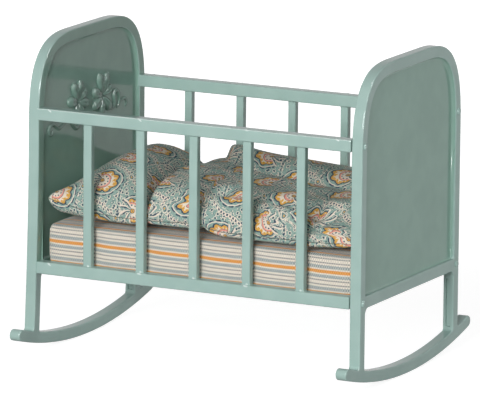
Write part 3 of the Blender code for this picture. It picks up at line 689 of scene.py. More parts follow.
def makeSpindle(name, node, x, sign):
    low = side["railTops"]["bottom"] - side["spindleSink"]
    high = side["railTops"]["top"] - side["rail"] + side["spindleSink"]
    wide, deep, flare = side["spindleWidths"][sign], side["spindleDepth"], side["flare"]
    shape = bmesh.new()
    addBox(shape, (-wide / 2, -deep / 2, low + flare), (wide / 2, deep / 2, high - flare))
    corners = [edge for edge in shape.edges if abs(edge.verts[0].co.z - edge.verts[1].co.z) > wide]
    bmesh.ops.bevel(shape, geom=corners, offset=side["spindleEdge"], segments=4, profile=0.5,
                    affect="EDGES", material=-1)
    turns = quarterTurns(side["flareSteps"])
    for way in (-1, 1):
        for a, b in zip(turns, turns[1:]):
            cap = max(shape.faces, key=lambda face: way * face.calc_center_median().z)
            out = [flare * (1 - math.cos(turn)) for turn in (a, b)]
            made = bmesh.ops.extrude_face_region(shape, geom=[cap])["geom"]
            bmesh.ops.delete(shape, geom=[cap], context="FACES_ONLY")
            verts = [part for part in made if isinstance(part, bmesh.types.BMVert)]
            factor = ((wide + 2 * out[1]) / (wide + 2 * out[0]), (deep + 2 * out[1]) / (deep + 2 * out[0]), 1)
            bmesh.ops.scale(shape, vec=factor, verts=verts)
            bmesh.ops.translate(shape, vec=(0, 0, way * (flare * (math.sin(b) - math.sin(a)))), verts=verts)
    bmesh.ops.recalc_face_normals(shape, faces=shape.faces)
    place = (x + side["spindleShifts"][sign], sign * side["middleY"], 0)
    bmesh.ops.translate(shape, vec=place, verts=shape.verts)
    piece = meshPiece(name, shape)
    smoothFlats(piece, 50)
    finishPiece(piece, stoveEnamel, "cradle", "enamel", node)


for word, sign in (("front", -1), ("back", 1)):
    for level in ("top", "bottom"):
        makeRail(word + level.title() + "Rail", word + "_" + level + "_rail", sign, level)
    for number in range(1, 6):
        makeSpindle(word + "Spindle" + str(number), word + "_spindle_" + str(number),
                    (number - 3) * side["pitch"], sign)
print("sides done")

# Rivets, one through each end into each rail

rivet = {"head": 2.3 * mm, "shank": 1.3 * mm, "height": 0.62 * mm, "reach": 3.5 * mm, "steps": 8}


def makeRivet(name, node, sign, y, z):
    shape = bmesh.new()
    bottom = -rivet["reach"] - end["bar"]
    profile = [(0, bottom), (rivet["shank"] / 2, bottom), (rivet["shank"] / 2, 0)]
    for turn in quarterTurns(rivet["steps"]):
        profile.append((rivet["head"] / 2 * math.cos(turn) ** 0.8, rivet["height"] * math.sin(turn)))
    verts = [shape.verts.new((r, 0, h)) for r, h in profile]
    edges = [shape.edges.new(pair) for pair in zip(verts, verts[1:])]
    bmesh.ops.spin(shape, geom=verts + edges, axis=(0, 0, 1), cent=(0, 0, 0), angle=2 * math.pi, steps=24,
                   use_merge=True)
    bmesh.ops.remove_doubles(shape, verts=shape.verts, dist=0.005 * mm)
    bmesh.ops.recalc_face_normals(shape, faces=shape.faces)
    place = Matrix.Translation((sign * end["length"] / 2, y, z)) @ Matrix.Rotation(sign * math.pi / 2, 4, "Y")
    bmesh.ops.transform(shape, matrix=place, verts=shape.verts)
    piece = meshPiece(name, shape)
    piece.data.shade_smooth()
    finishPiece(piece, stoveEnamel, "cradle", "enamel", node)


for word, sign in (("head", -1), ("foot", 1)):
    for sideWord, sideSign in (("front", -1), ("back", 1)):
        for level in ("top", "bottom"):
            makeRivet(word + "Rivet" + sideWord.title() + level.title(),
                      "_".join((word, "rivet", sideWord, level)),
                      sign, sideSign * side["middleY"], side["railTops"][level] - side["rail"] / 2)
# the sheet under the mattress keeps its solid, in the same enamel
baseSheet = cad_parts["base_sheet"]
baseSheet.data.materials.clear()
baseSheet.data.materials.append(stoveEnamel)
print("rivets done")

# Mattress: a boxed pad in striped ticking

mattress = {
    "halfLength": 55.5 * mm,
    "halfWidth": 32.6 * mm,
    "bottom": 30.15 * mm,
    "height": 12.9 * mm,
    "round": 1.9 * mm,          # of the long edges
    "bulge": 1.15 * mm,         # of the sides, between the spindles
    "drawIn": 0.9 * mm,         # of those sides, behind the spindles
    "crown": 0.9 * mm,
    "step": 1.6 * mm,           # between the points of a straight side
    "underSteps": 20,
    "rings": 96,
    "capInset": 2.0 * mm,
}


def clothLayer(shape):
    return shape.loops.layers.uv.new("cloth")


def mattressProfile():
    # points round the cross-section, from the middle of the underside
    half, tall, bend = mattress["halfWidth"], mattress["height"], mattress["round"]
    corners = ((half - bend, bend, -90), (half - bend, tall - bend, 0),
               (bend - half, tall - bend, 90), (bend - half, bend, 180))
    points = [(0, 0)]
    for y, z, start in corners:
        arc = arcPoints(y, z, bend, start, start + 90)
        last = points[-1]
        count = max(2, int(math.dist(last, arc[0]) / mattress["step"]))
        points += [(last[0] + (arc[0][0] - last[0]) * n / count, last[1] + (arc[0][1] - last[1]) * n / count)
                   for n in range(1, count)]
        points += arc
    last, count = points[-1], mattress["underSteps"]
    return points + [(last[0] * (1 - n / count), last[1] * (1 - n / count)) for n in range(1, count)]


def makeMattress():
    profile = np.array(mattressProfile())
    profile[:, 0] *= -1          # so that it runs from the underside up the front, over and down the back
    around = np.concatenate([[0], np.cumsum(np.linalg.norm(np.diff(profile, axis=0), axis=1))])
    total = around[-1] + np.linalg.norm(profile[0] - profile[-1])
    shape = bmesh.new()
    layer = clothLayer(shape)
    aroundLayer = shape.verts.layers.float.new("around")
    ring = [shape.verts.new((0, y, z)) for y, z in profile]
    for vert, far in zip(ring, around):
        vert[aroundLayer] = far
    edges = [shape.edges.new((ring[n], ring[(n + 1) % len(ring)])) for n in range(len(ring))]
    half = mattress["halfLength"]
    stops = [math.sin(math.pi / 2 * share) for share in np.linspace(-1, 1, mattress["rings"] + 1)]
    bmesh.ops.translate(shape, vec=(stops[0] * half, 0, 0), verts=ring)
    live, first = edges, list(edges)
    for a, b in zip(stops, stops[1:]):
        made = bmesh.ops.extrude_edge_only(shape, edges=live)["geom"]
        verts = [part for part in made if isinstance(part, bmesh.types.BMVert)]
        live = [part for part in made if isinstance(part, bmesh.types.BMEdge)
                and all(vert in verts for vert in part.verts)]
        bmesh.ops.translate(shape, vec=((b - a) * half, 0, 0), verts=verts)
    for loop in (first, live):
        bmesh.ops.holes_fill(shape, edges=loop)
    caps = [face for face in shape.faces if len(face.verts) > 4]
    bmesh.ops.inset_individual(shape, faces=caps, thickness=mattress["capInset"], depth=0)
    bmesh.ops.recalc_face_normals(shape, faces=shape.faces)
    pitch = side["pitch"]
    for vert in shape.verts:
        x, y, z = vert.co
        u, v, w = x / half, y / mattress["halfWidth"], z / mattress["height"]
        # ends and long sides draw in towards the corners, the top is crowned
        lobe = (1 - abs(math.cos(math.pi * x / pitch)) ** 8) * mattress["bulge"]
        belly = 1 - (2 * w - 1) ** 4
        y += math.copysign(1, y) * (lobe - mattress["drawIn"]) * belly * (abs(v) > 0.8)
        y *= 1 - 0.012 * u ** 12
        x *= 1 - 0.016 * (1 - belly) - 0.010 * v ** 8
        z += mattress["crown"] * (1 - u ** 4) * (1 - v ** 4) * w
        vert.co = (x, y, z + mattress["bottom"])
    # the ends are cut from the same cloth, with level stripes that meet the back's, whose lowest
    # point lies this far round the pad
    bend = mattress["round"]
    lowest = total - (mattress["halfWidth"] - bend + math.pi / 2 * bend - bend)
    shape.normal_update()
    for face in shape.faces:
        if abs(face.normal.x) > 0.8:
            for loop in face.loops:
                up = loop.vert.co.z - mattress["bottom"]
                loop[layer].uv = (loop.vert.co.y / mm, (lowest - up) / mm)
            continue
        values = [loop.vert[aroundLayer] for loop in face.loops]
        for loop, value in zip(face.loops, values):
            if max(values) - min(values) > total / 2 and value < total / 2:
                value += total
            loop[layer].uv = (loop.vert.co.x / mm, value / mm)
    piece = meshPiece("mattressPad", shape)
    piece.data.shade_smooth()
    subdivideOnce(piece)
    return piece


ticking = {
    "cream": "#d6cdc0",
    "orange": "#d8903c",
    "blue": "#6a7d83",
    "thin": "#5c6466",
    "high": "#efe8dc",          # on the stitches' tops, partly a painted highlight
    "repeat": 7.05,             # mm from one orange stripe to the next
    "start": 4.25,              # mm, set so that an orange stripe is 7.8 mm up the front
    # each stripe: mm from the orange one, half width in mm, colour; the last is the next orange one
    "stripes": ((0, 0.48, "orange"), (1.55, 0.46, "blue"), (2.85, 0.16, "thin"), (4.20, 0.16, "thin"),
                (5.50, 0.46, "blue"), (7.05, 0.48, "orange")),
    "soft": 0.09,               # mm, of a stripe's edge
    "thread": 0.70,             # mm, the weave's pitch, drawn coarser than the real one so that it shows
    "stitch": 1.15,             # length of a stitch, in pitches
    "top": (76, 31.5),          # middle and half of the upper face, mm round the pad
    "relief": 0.04,             # mm
}


def makeTicking():
    # Woven cotton ticking: soft stripes of dyed warp, each made of small raised stitches,
    # so the bands look dotted, with painted light and shade on each stitch, and the cloth has no shine.
    material, tree = newMaterial("wovenTicking")
    cloth = addNode(tree, "UVMap", {"uv_map": "cloth"}).outputs[0]
    uneven = addNode(tree, "TexNoise", {"noise_dimensions": "2D"}, {
        "Vector": cloth, "Scale": 0.5, "Detail": 1.0})
    laid = addNode(tree, "VectorMath", {"operation": "MULTIPLY_ADD"}, {
        0: uneven.outputs["Color"], 1: (0.45, 0.12, 0), 2: cloth})
    parts = addNode(tree, "SeparateXYZ", None, {0: laid.outputs[0]})
    known = {"x": parts.outputs[0], "y": parts.outputs[1]}
    thread = ticking["thread"]
    runSteps(tree, known, "Math", [
        ("shifted", "SUBTRACT", "y", ticking["start"]),
        ("turns", "DIVIDE", "shifted", ticking["repeat"]),
        ("place", "FRACT", "turns"),
        # on the long sides each row of stitches starts half a stitch along
        ("onTop", "COMPARE", "y", *ticking["top"]), ("rowShift", "MULTIPLY_ADD", "onTop", -0.5, 0.5),
        ("row", "DIVIDE", "y", thread),
        ("rowNumber", "FLOOR", "row"),
        ("rowHalf", "MULTIPLY", "rowNumber", "rowShift"),
        ("along", "DIVIDE", "x", thread * ticking["stitch"]),
        ("alongShifted", "ADD", "along", "rowHalf"),
        ("alongTurn", "MULTIPLY", "alongShifted", 2 * math.pi),
        ("alongWave", "SINE", "alongTurn"),
        ("rowPlace", "FRACT", "row"),
        ("rowTurn", "MULTIPLY", "rowPlace", math.pi),
        ("rowWave", "SINE", "rowTurn"),
        ("stitch", "MULTIPLY", "alongWave", "rowWave"),
        ("steep", "MULTIPLY", "stitch", 3.0),
        ("flatTop", "MINIMUM", "steep", 1.0),
        ("flatBoth", "MAXIMUM", "flatTop", -1.0),
        ("stitchShare", "MULTIPLY_ADD", "flatBoth", 0.5, 0.5),
    ])
    ramp = addNode(tree, "ValToRGB", None, {"Fac": known["place"]})
    cream, orange = linearColour(ticking["cream"]), linearColour(ticking["orange"])
    stops = []
    for centre, half, key in ticking["stripes"]:
        colour = linearColour(ticking[key])
        for place, tone in ((centre - half - ticking["soft"], cream), (centre - half, colour),
                            (centre + half, colour), (centre + half + ticking["soft"], cream)):
            if 0 <= place <= ticking["repeat"]:
                stops.append((place / ticking["repeat"], tone))
    elements = ramp.color_ramp.elements
    elements[0].position, elements[0].color = 0, orange
    elements[1].position, elements[1].color = 1, orange
    for place, tone in stops:
        elements.new(place).color = tone
    # dyed stitches show cream between them in the blue bands and the thin lines; the stitches' tops are paler
    # as painted highlight, and the grey mix darkens between them as painted shade
    dyed = addNode(tree, "SeparateColor", None, {0: ramp.outputs[0]})
    known["red"] = dyed.outputs[0]
    runSteps(tree, known, "Math", [
        ("lack", "SUBTRACT", cream[0], "red"),
        ("tone", "MULTIPLY", "lack", 3.2),
        ("toneHeld", "MINIMUM", "tone", 1.0),
        ("contrast", "MULTIPLY_ADD", "toneHeld", 0.32, 0.10),
        ("show", "MULTIPLY", "stitchShare", "contrast"),
        # the weave's painted light and shade: lighter on the stitches, darker between them
        ("shade", "MULTIPLY_ADD", "stitchShare", 0.85, 0.54),
    ])
    woven = addNode(tree, "Mix", {"data_type": "RGBA"}, {
        0: known["show"], 6: ramp.outputs[0], 7: linearColour(ticking["high"])})
    grey = addNode(tree, "CombineColor", None, {place: known["shade"] for place in range(3)})
    deep = addNode(tree, "Mix", {"data_type": "RGBA", "blend_type": "MULTIPLY"}, {
        0: 1.0, 6: woven.outputs[2], 7: grey.outputs[0]})
    raised = addNode(tree, "Bump", None, {"Height": known["stitchShare"], "Strength": 0.5,
                                          "Distance": ticking["relief"] * mm})
    matt = addNode(tree, "BsdfPrincipled", None, {
        "Base Color": deep.outputs[2], "Roughness": 0.92, "Sheen Weight": 0.15, "Sheen Roughness": 0.5,
        "Specular IOR Level": 0.2, "Normal": raised.outputs[0]})
    addNode(tree, "OutputMaterial", None, {"Surface": matt.outputs[0]})
    return material


wovenTicking = makeTicking()
mattressPad = finishPiece(makeMattress(), wovenTicking, "mattress", "ticking", "mattress")
print("mattress done")

# Pillow and duvet: two layers of cotton sewn at the edge and stuffed


def sewnCushion(name, sizes, rule):
    # rule gives the place of every point of one layer, from u and v between -1 and 1
    columns, rows, turn = sizes["columns"], sizes["rows"], sizes["clothTurn"]
    cut = np.array([[math.cos(turn), -math.sin(turn)], [math.sin(turn), math.cos(turn)]])
    shape = bmesh.new()
    layer = clothLayer(shape)
    seamLayer = shape.loops.layers.uv.new("seams")
    for way in (1, -1):
        made = bmesh.ops.create_grid(shape, x_segments=columns, y_segments=rows, size=1)["verts"]
        flat = np.array([vert.co.xy for vert in made])
        order = np.lexsort((flat[:, 0].round(5), flat[:, 1].round(5)))
        made = [made[n] for n in order]
        flat = np.sin(flat[order] * math.pi / 2)
        placed = rule(flat[:, 0], flat[:, 1], way).reshape(rows + 1, columns + 1, 3)
        # lengths along the cloth, from the front seam and from the middle column
        down = np.linalg.norm(np.diff(placed, axis=0), axis=2)
        down = np.vstack([np.zeros(columns + 1), np.cumsum(down, axis=0)])
        cross = np.linalg.norm(np.diff(placed, axis=1), axis=2)
        cross = np.hstack([np.zeros((rows + 1, 1)), np.cumsum(cross, axis=1)])
        gaps = np.stack([np.minimum(cross, cross[:, -1:] - cross).ravel(),
                         np.minimum(down, down[-1:] - down).ravel()], axis=1) / mm
        cross -= cross[:, columns // 2:columns // 2 + 1]
        cross += placed[:, columns // 2:columns // 2 + 1, 0]
        placed = placed.reshape(-1, 3)
        lengths = np.stack([cross.ravel(), way * down.ravel()], axis=1) / mm @ cut.T + sizes["clothShift"]
        places = {vert: pair for vert, pair in zip(made, zip(lengths, gaps))}
        for vert, place in zip(made, placed):
            vert.co = place
        faces = {face for vert in made for face in vert.link_faces}
        for face in faces:
            for loop in face.loops:
                loop[layer].uv, loop[seamLayer].uv = places[loop.vert]
        if way < 0:
            bmesh.ops.reverse_faces(shape, faces=list(faces))
    bmesh.ops.remove_doubles(shape, verts=shape.verts, dist=0.001 * mm)
    piece = meshPiece(name, shape)
    piece.data.shade_smooth()
    return piece


def hump(x, centre, spread):
    return np.exp(-((x - centre) / spread) ** 2)


def rampUp(x, start, length):
    # from 0 at start to 1 over this length, which is negative where it runs the other way
    return np.clip((x - start) / length, 0, 1)


pillow = {
    "columns": 44, "rows": 72,
    # how the printed cloth was laid before it was cut: turn in radians, shift in mm
    "clothTurn": 2.67, "clothShift": (-27.78, 27.06),
    "heldBelow": 47.0 * mm,     # while the filling settles
    "left": -55.2 * mm, "right": -20.1 * mm, "slant": 5.0 * mm,
    "halfWidth": 32.0 * mm,
    "seam": 47.7 * mm,
    "edge": 2.3 * mm,           # how plump it is right beside the seam
    "height": 13.4 * mm,        # more than that in the middle
    "belly": 2.7 * mm,          # below the seam
    "bellyEdge": 2.2 * mm,      # of that, already beside the seam
    "gathers": (0.30 * mm, 0.35 * mm),       # along the short seams and the long ones
    "seamDraw": 0.45 * mm,
    "seamHalf": 0.55 * mm,
    "earLift": 5.0 * mm,        # of the two corners at the head
    "drawIn": 1.2 * mm,
    "pinch": 1.3 * mm,          # of the front behind a spindle
    "pinchDrop": 1.2 * mm,
    "pinchHalf": 1.2 * mm,
}


def pillowRule(u, v, way):
    centre, half = (pillow["left"] + pillow["right"]) / 2, (pillow["right"] - pillow["left"]) / 2
    x = centre + u * (half - pillow["drawIn"] * (1 - v ** 2) * u ** 2 / 2)
    x = x - pillow["slant"] * (v + 1) / 2 * (u + 1) / 2
    y = v * (pillow["halfWidth"] - pillow["drawIn"] * (1 - u ** 2) * v ** 2 / 2)
    # the head seam leans up the headboard, most at its two ends
    ears = 0.55 + 0.45 * np.abs(v) ** 4 + 0.15 * v
    seam = pillow["seam"] + pillow["earLift"] * ((1 - u) / 2) ** 2.6 * ears
    plump = ((1 - np.abs(u) ** 22) * (1 - np.abs(v) ** 34)).clip(0, 1) ** 0.5
    pinch = hump(x, -1.9 * side["pitch"], pillow["pinchHalf"])
    if way > 0:
        towardsHead = 1 - np.abs(u) ** 1.28
        towardsFoot = (1 - np.abs(u) ** 2.5).clip(0, 1) ** 0.55
        full = np.where(u < 0, towardsHead, towardsFoot) * (1 - np.abs(v) ** 3.0).clip(0, 1) ** 0.6
        # creases that run in from the corners and along the seams
        short, long = pillow["gathers"]
        gathers = long * np.sin(x / mm * 1.15 + 1.2 * np.sin(y / mm * 0.2)) * np.abs(v) ** 3
        gathers = gathers + short * np.sin(y / mm * 0.9 + 0.8) * np.abs(u) ** 3
        z = seam + pillow["edge"] * plump + (pillow["height"] + gathers) * full
        z = z - pillow["pinchDrop"] * pinch * np.clip(-v, 0, 1) ** 4 * plump
        y = y + pillow["pinch"] * pinch * np.clip(-v, 0, 1) ** 12 * plump
    else:
        full = ((1 - np.abs(u) ** 4) * (1 - np.abs(v) ** 6)).clip(0, 1) ** 0.7
        edge = pillow["bellyEdge"]
        z = seam - (seam - pillow["seam"] + pillow["belly"] - edge) * full - edge * plump
    y = y - np.sign(v) * pillow["seamDraw"] * hump(z, seam, pillow["seamHalf"]) * (np.abs(v) > 0.8)
    return np.stack([x, y, z], axis=1)


# A pair of lengths whose name ends in Grows, Regains, Starts or Ends is where something starts along X
# and the length over which it grows, negative where it grows towards the head.
duvet = {
    "columns": 116, "rows": 100,
    "clothTurn": -0.392, "clothShift": (-15.6, -9.32),
    "heldBelow": 46.8 * mm,
    "left": -19.3 * mm, "right": 55.75 * mm, "slant": 5.0 * mm,
    "halfWidth": 32.7 * mm,
    "seam": 48.2 * mm,
    "seamDraw": 0.75 * mm,
    "seamHalf": 0.4 * mm,
    "sag": 1.6 * mm,            # of that seam right of the middle spindle, less again at the foot
    "sagGrows": (1 * mm, 7 * mm), "sagEnds": (40 * mm, 14 * mm),
    "height": 12.8 * mm,
    "rise": 1.0 * mm,           # more at the back, less at the front
    "settle": 2.0 * mm,         # lower towards the foot
    "settleGrows": (-8 * mm, 34 * mm),
    "frontDrop": 1.9 * mm,      # of the front edge beside the pillow, and how much less from there on
    "frontRegain": 1.4 * mm, "frontRegains": (-2 * mm, 6 * mm),
    "slump": 4.4 * mm,          # of the front edge at the foot end
    "slumpGrows": (33 * mm, 8 * mm),
    "belly": 2.2 * mm,
    "bellyDent": (1.2 * mm, 0.8 * mm, 1.6 * mm),     # its depth, place along X and half width
    "pressedGrows": (-6 * mm, 4 * mm),       # left of it no spindle presses the duvet in
    "bulge": 0.9 * mm,          # between two spindles, fullest this far to the right of each
    "bulgeShift": 5 * mm,
    "pinch": 7.5 * mm,          # of the front behind each spindle, in a notch that falls towards the foot
    "pinchRun": 2.8 * mm,
    "notchUp": 54.6 * mm, "notchFall": 0.115, "notchHalf": 0.9 * mm,
    "dip": 1.6 * mm,            # of the front roll behind each spindle, to its left, right and back
    "dipReach": (1.8 * mm, 3.2 * mm, 8.5 * mm),
    "dent": 3.2 * mm,           # of the crease that runs back from each spindle
    "dentLead": 0.3 * mm,
    "dentOnset": 0.7 * mm,
    "dentRun": 6.0 * mm,
    "dentWidth": 0.9 * mm,
    # a crease's place along X, and how far behind the front edge it starts there
    "dentFeet": ((0, 20 * mm, 40 * mm), (2.4 * mm, 1.3 * mm, 1.0 * mm)),
    # behind the roll along the front edge: depth, place behind that edge and half width
    "valley": (2.0 * mm, 7.8 * mm, 2.4 * mm), "valleyGrows": (-4 * mm, 12 * mm),
    "softFold": 0.6 * mm,
    "hollow": 3.6 * mm,         # in front of the ridge: its place along Y, how far that wanders, half width
    "hollowPlace": 3.2 * mm, "hollowDrift": 16 * mm, "hollowHalf": 3.2 * mm,
    "ridge": 2.7 * mm,          # along the duvet, behind its middle
    "ridgeHead": 1.3 * mm,      # more than that near the pillow
    "ridgeHeadGrows": (2 * mm, -12 * mm),
    "ridgeFoot": 0.8 * mm,      # less than that towards the foot
    "ridgeFootGrows": (14 * mm, 12 * mm),
    "ridgePlace": 12.5 * mm,
    "ridgeSpreads": (4.4 * mm, 9.5 * mm),     # in front and behind
    # the fold at the back, near the pillow: where its slanting line crosses X at this Y; what starts
    # or grows there is measured across that line
    "fold": -16.4 * mm, "foldPlace": 23 * mm,
    "ridgeStarts": (-17.4 * mm, 1.0 * mm),
    "peak": 0.9 * mm,
    "peakSpreads": (0.8 * mm, 7 * mm),        # towards the pillow and away from it
    "peakHalf": 7 * mm,
    "tuck": 2.8 * mm,           # left of that fold, with its middle and half width along Y
    "tuckGrows": (-17.0 * mm, -1.1 * mm), "tuckAcross": (27 * mm, 12 * mm),
    "hang": 1.5 * mm,           # of the end beside the pillow
    "hangGrows": (-11 * mm, -6 * mm), "hangAcross": (11 * mm, 8 * mm),
}


def duvetRule(u, v, way):
    centre, half = (duvet["left"] + duvet["right"]) / 2, (duvet["right"] - duvet["left"]) / 2
    x = centre + u * half - duvet["slant"] * (v + 1) / 2 * (1 - u) / 2
    y = v * duvet["halfWidth"]
    back = (v + 1) * duvet["halfWidth"]
    # a crease starts right of each spindle and leans back as it runs to the right
    pitch, onset = side["pitch"], duvet["dentOnset"]
    along = np.mod(x + duvet["dentLead"], pitch)
    pressed = rampUp(x, *duvet["pressedGrows"])
    onset = np.clip(along / onset, 0, 1) + np.clip((along - pitch) / onset + 1, 0, 1)
    line = np.interp(x, *duvet["dentFeet"]) + 1.25 * along
    crease = hump(back, line, duvet["dentWidth"] + 0.14 * along)
    crease = crease * (np.exp(-along / duvet["dentRun"]) * onset * pressed)
    dipLeft, dipRight, dipBack = duvet["dipReach"]
    dip = np.maximum(np.exp(-along / dipRight), hump(along, pitch, dipLeft)) * pressed
    sag = duvet["sag"] * (rampUp(x, *duvet["sagGrows"]) - 0.6 * rampUp(x, *duvet["sagEnds"]))
    seam = duvet["seam"] - sag
    if way > 0:
        squareness = np.where(u < 0, 46, 22)
        full = ((1 - np.abs(u) ** squareness) * (1 - np.abs(v) ** 11)).clip(0, 1) ** 0.5
        top = duvet["height"] + duvet["rise"] * v
        drop = duvet["frontDrop"] - duvet["frontRegain"] * rampUp(x, *duvet["frontRegains"])
        top = top - drop * hump(v, -1, 0.25)
        top = top - duvet["slump"] * rampUp(x, *duvet["slumpGrows"]) * rampUp(v, -0.58, -0.28)
        top = top - duvet["dip"] * dip * hump(back, 0, dipBack)
        start, length = duvet["settleGrows"]
        top = top - duvet["settle"] * np.clip((x - start) / length, 0, 1.3)
        # the roll along the front edge, the valley behind it, and long soft folds from end to end
        roll = pressed * rampUp(x, *duvet["valleyGrows"])
        wobble = 1 + 0.5 * np.sin(x / mm * 0.21 + 1.0)
        depth, place, spread = duvet["valley"]
        top = top - depth * roll * hump(back, place, spread) * wobble
        drift = 0.07 * np.sin(x / mm * 0.11 + 0.6)
        top = top + duvet["softFold"] * hump(v, -0.20 + drift, 0.10)
        # a valley behind the middle and a ridge behind that, which ends at the fold
        hollow = hump(y, duvet["hollowPlace"] + duvet["hollowDrift"] * drift, duvet["hollowHalf"])
        top = top - duvet["hollow"] * roll * hollow
        ridge = duvet["ridge"] + duvet["ridgeHead"] * rampUp(x, *duvet["ridgeHeadGrows"])
        ridge = ridge - duvet["ridgeFoot"] * rampUp(x, *duvet["ridgeFootGrows"])
        fold = x + 0.52 * (y - duvet["foldPlace"])
        spread = np.where(y < duvet["ridgePlace"], *duvet["ridgeSpreads"])
        top = top + ridge * hump(y, duvet["ridgePlace"], spread) * rampUp(fold, *duvet["ridgeStarts"])
        spread = np.where(fold < duvet["fold"], *duvet["peakSpreads"])
        peak = hump(fold, duvet["fold"], spread) * hump(y, duvet["foldPlace"], duvet["peakHalf"])
        top = top + duvet["peak"] * peak
        top = top - duvet["tuck"] * rampUp(fold, *duvet["tuckGrows"]) * hump(y, *duvet["tuckAcross"])
        top = top - duvet["hang"] * rampUp(x, *duvet["hangGrows"]) * hump(y, *duvet["hangAcross"])
        top = top - duvet["dent"] * crease
        z = seam + (top + sag) * full
        lobe = np.cos(2 * math.pi * (x - duvet["bulgeShift"]) / pitch)
        level = hump(z, duvet["notchUp"] - duvet["notchFall"] * x, duvet["notchHalf"])
        notch = np.exp(-along / duvet["pinchRun"]) * onset * pressed * level * (v < -0.5)
        inward = duvet["bulge"] * (0.5 - 0.5 * lobe) + duvet["pinch"] * notch
        y = y - np.sign(v) * inward * np.abs(v) ** 10 * (1 - np.abs(v) ** 70)
    else:
        full = ((1 - np.abs(u) ** 16) * (1 - np.abs(v) ** 16)).clip(0, 1) ** 0.5
        depth, place, spread = duvet["bellyDent"]
        z = seam - (duvet["belly"] - depth * hump(x, place, spread)) * full
    y = y - np.sign(v) * duvet["seamDraw"] * hump(z, seam, duvet["seamHalf"]) * (np.abs(v) > 0.8)
    return np.stack([x, y, z], axis=1)


settling = {
    "enlarged": 10,             # the solver works on a copy this many times as large
    "frames": 14,
    "cap": 0.4 * mm,            # no point moves further than this
    "seed": 7,
    "start": 0.03 * mm,         # uneven start, so that the folds don't mirror one another
    # a light cotton that bends easily, a tenth too large for its filling, which presses it out
    "rules": {"quality": 6, "mass": 0.2, "tension_stiffness": 12, "compression_stiffness": 12,
              "shear_stiffness": 4, "bending_stiffness": 0.15, "air_damping": 4, "use_pressure": True,
              "uniform_pressure_force": 3.0, "shrink_min": -0.10, "pin_stiffness": 1.0},
}


def settleCloth(piece, heldBelow):
    # The filling presses the cloth out and its slack gathers into small folds.
    mesh = piece.data
    rest = np.empty(len(mesh.vertices) * 3)
    mesh.vertices.foreach_get("co", rest)
    rest = rest.reshape(-1, 3)
    uneven = np.random.default_rng(settling["seed"]).normal(0, settling["start"], rest.shape)
    mesh.vertices.foreach_set("co", ((rest + uneven) * settling["enlarged"]).ravel())
    held = piece.vertex_groups.new(name="held")
    for number, height in enumerate(rest[:, 2]):
        held.add([number], float(height < heldBelow), "REPLACE")
    cloth = piece.modifiers.new("cloth", "CLOTH")
    for name, value in settling["rules"].items():
        setattr(cloth.settings, name, value)
    cloth.settings.vertex_group_mass = held.name
    cloth.settings.effector_weights.gravity = 0
    cloth.collision_settings.use_collision = False
    cloth.point_cache.frame_end = settling["frames"] + 1
    for frameNumber in range(1, settling["frames"] + 1):
        scene.frame_set(frameNumber)
    shown = piece.evaluated_get(bpy.context.evaluated_depsgraph_get())
    settled = np.empty(len(mesh.vertices) * 3)
    shown.data.vertices.foreach_get("co", settled)
    moved = settled.reshape(-1, 3) / settling["enlarged"] - rest
    far = np.linalg.norm(moved, axis=1, keepdims=True)
    moved *= np.tanh(far / settling["cap"]) * settling["cap"] / np.maximum(far, 1e-9)
    average, most = (far.mean() / mm).round(3), (far.max() / mm).round(2)
    print("cloth moved", piece.name, average, "mm on average,", most, "at most")
    piece.modifiers.remove(cloth)
    piece.vertex_groups.remove(held)
    scene.frame_set(1)
    mesh.vertices.foreach_set("co", (rest + moved).ravel())
    mesh.update()


cotton = {
    "ground": "#829f97",
    "cream": "#dbd0c0",
    "ochre": "#cf9b3f",
    "pink": "#dd8f7f",
    "navy": "#234258",
    "shade": "#4c5853",         # down in the seam
    "thread": 0.12,             # mm, how far the thread stands up
    "column": 16.84,            # mm from one motif to the next along the cloth
    "row": 27.55,               # mm from one row to the next but one
    "aim": 0.5,                 # radians, how far the blossoms are turned on the cloth
}


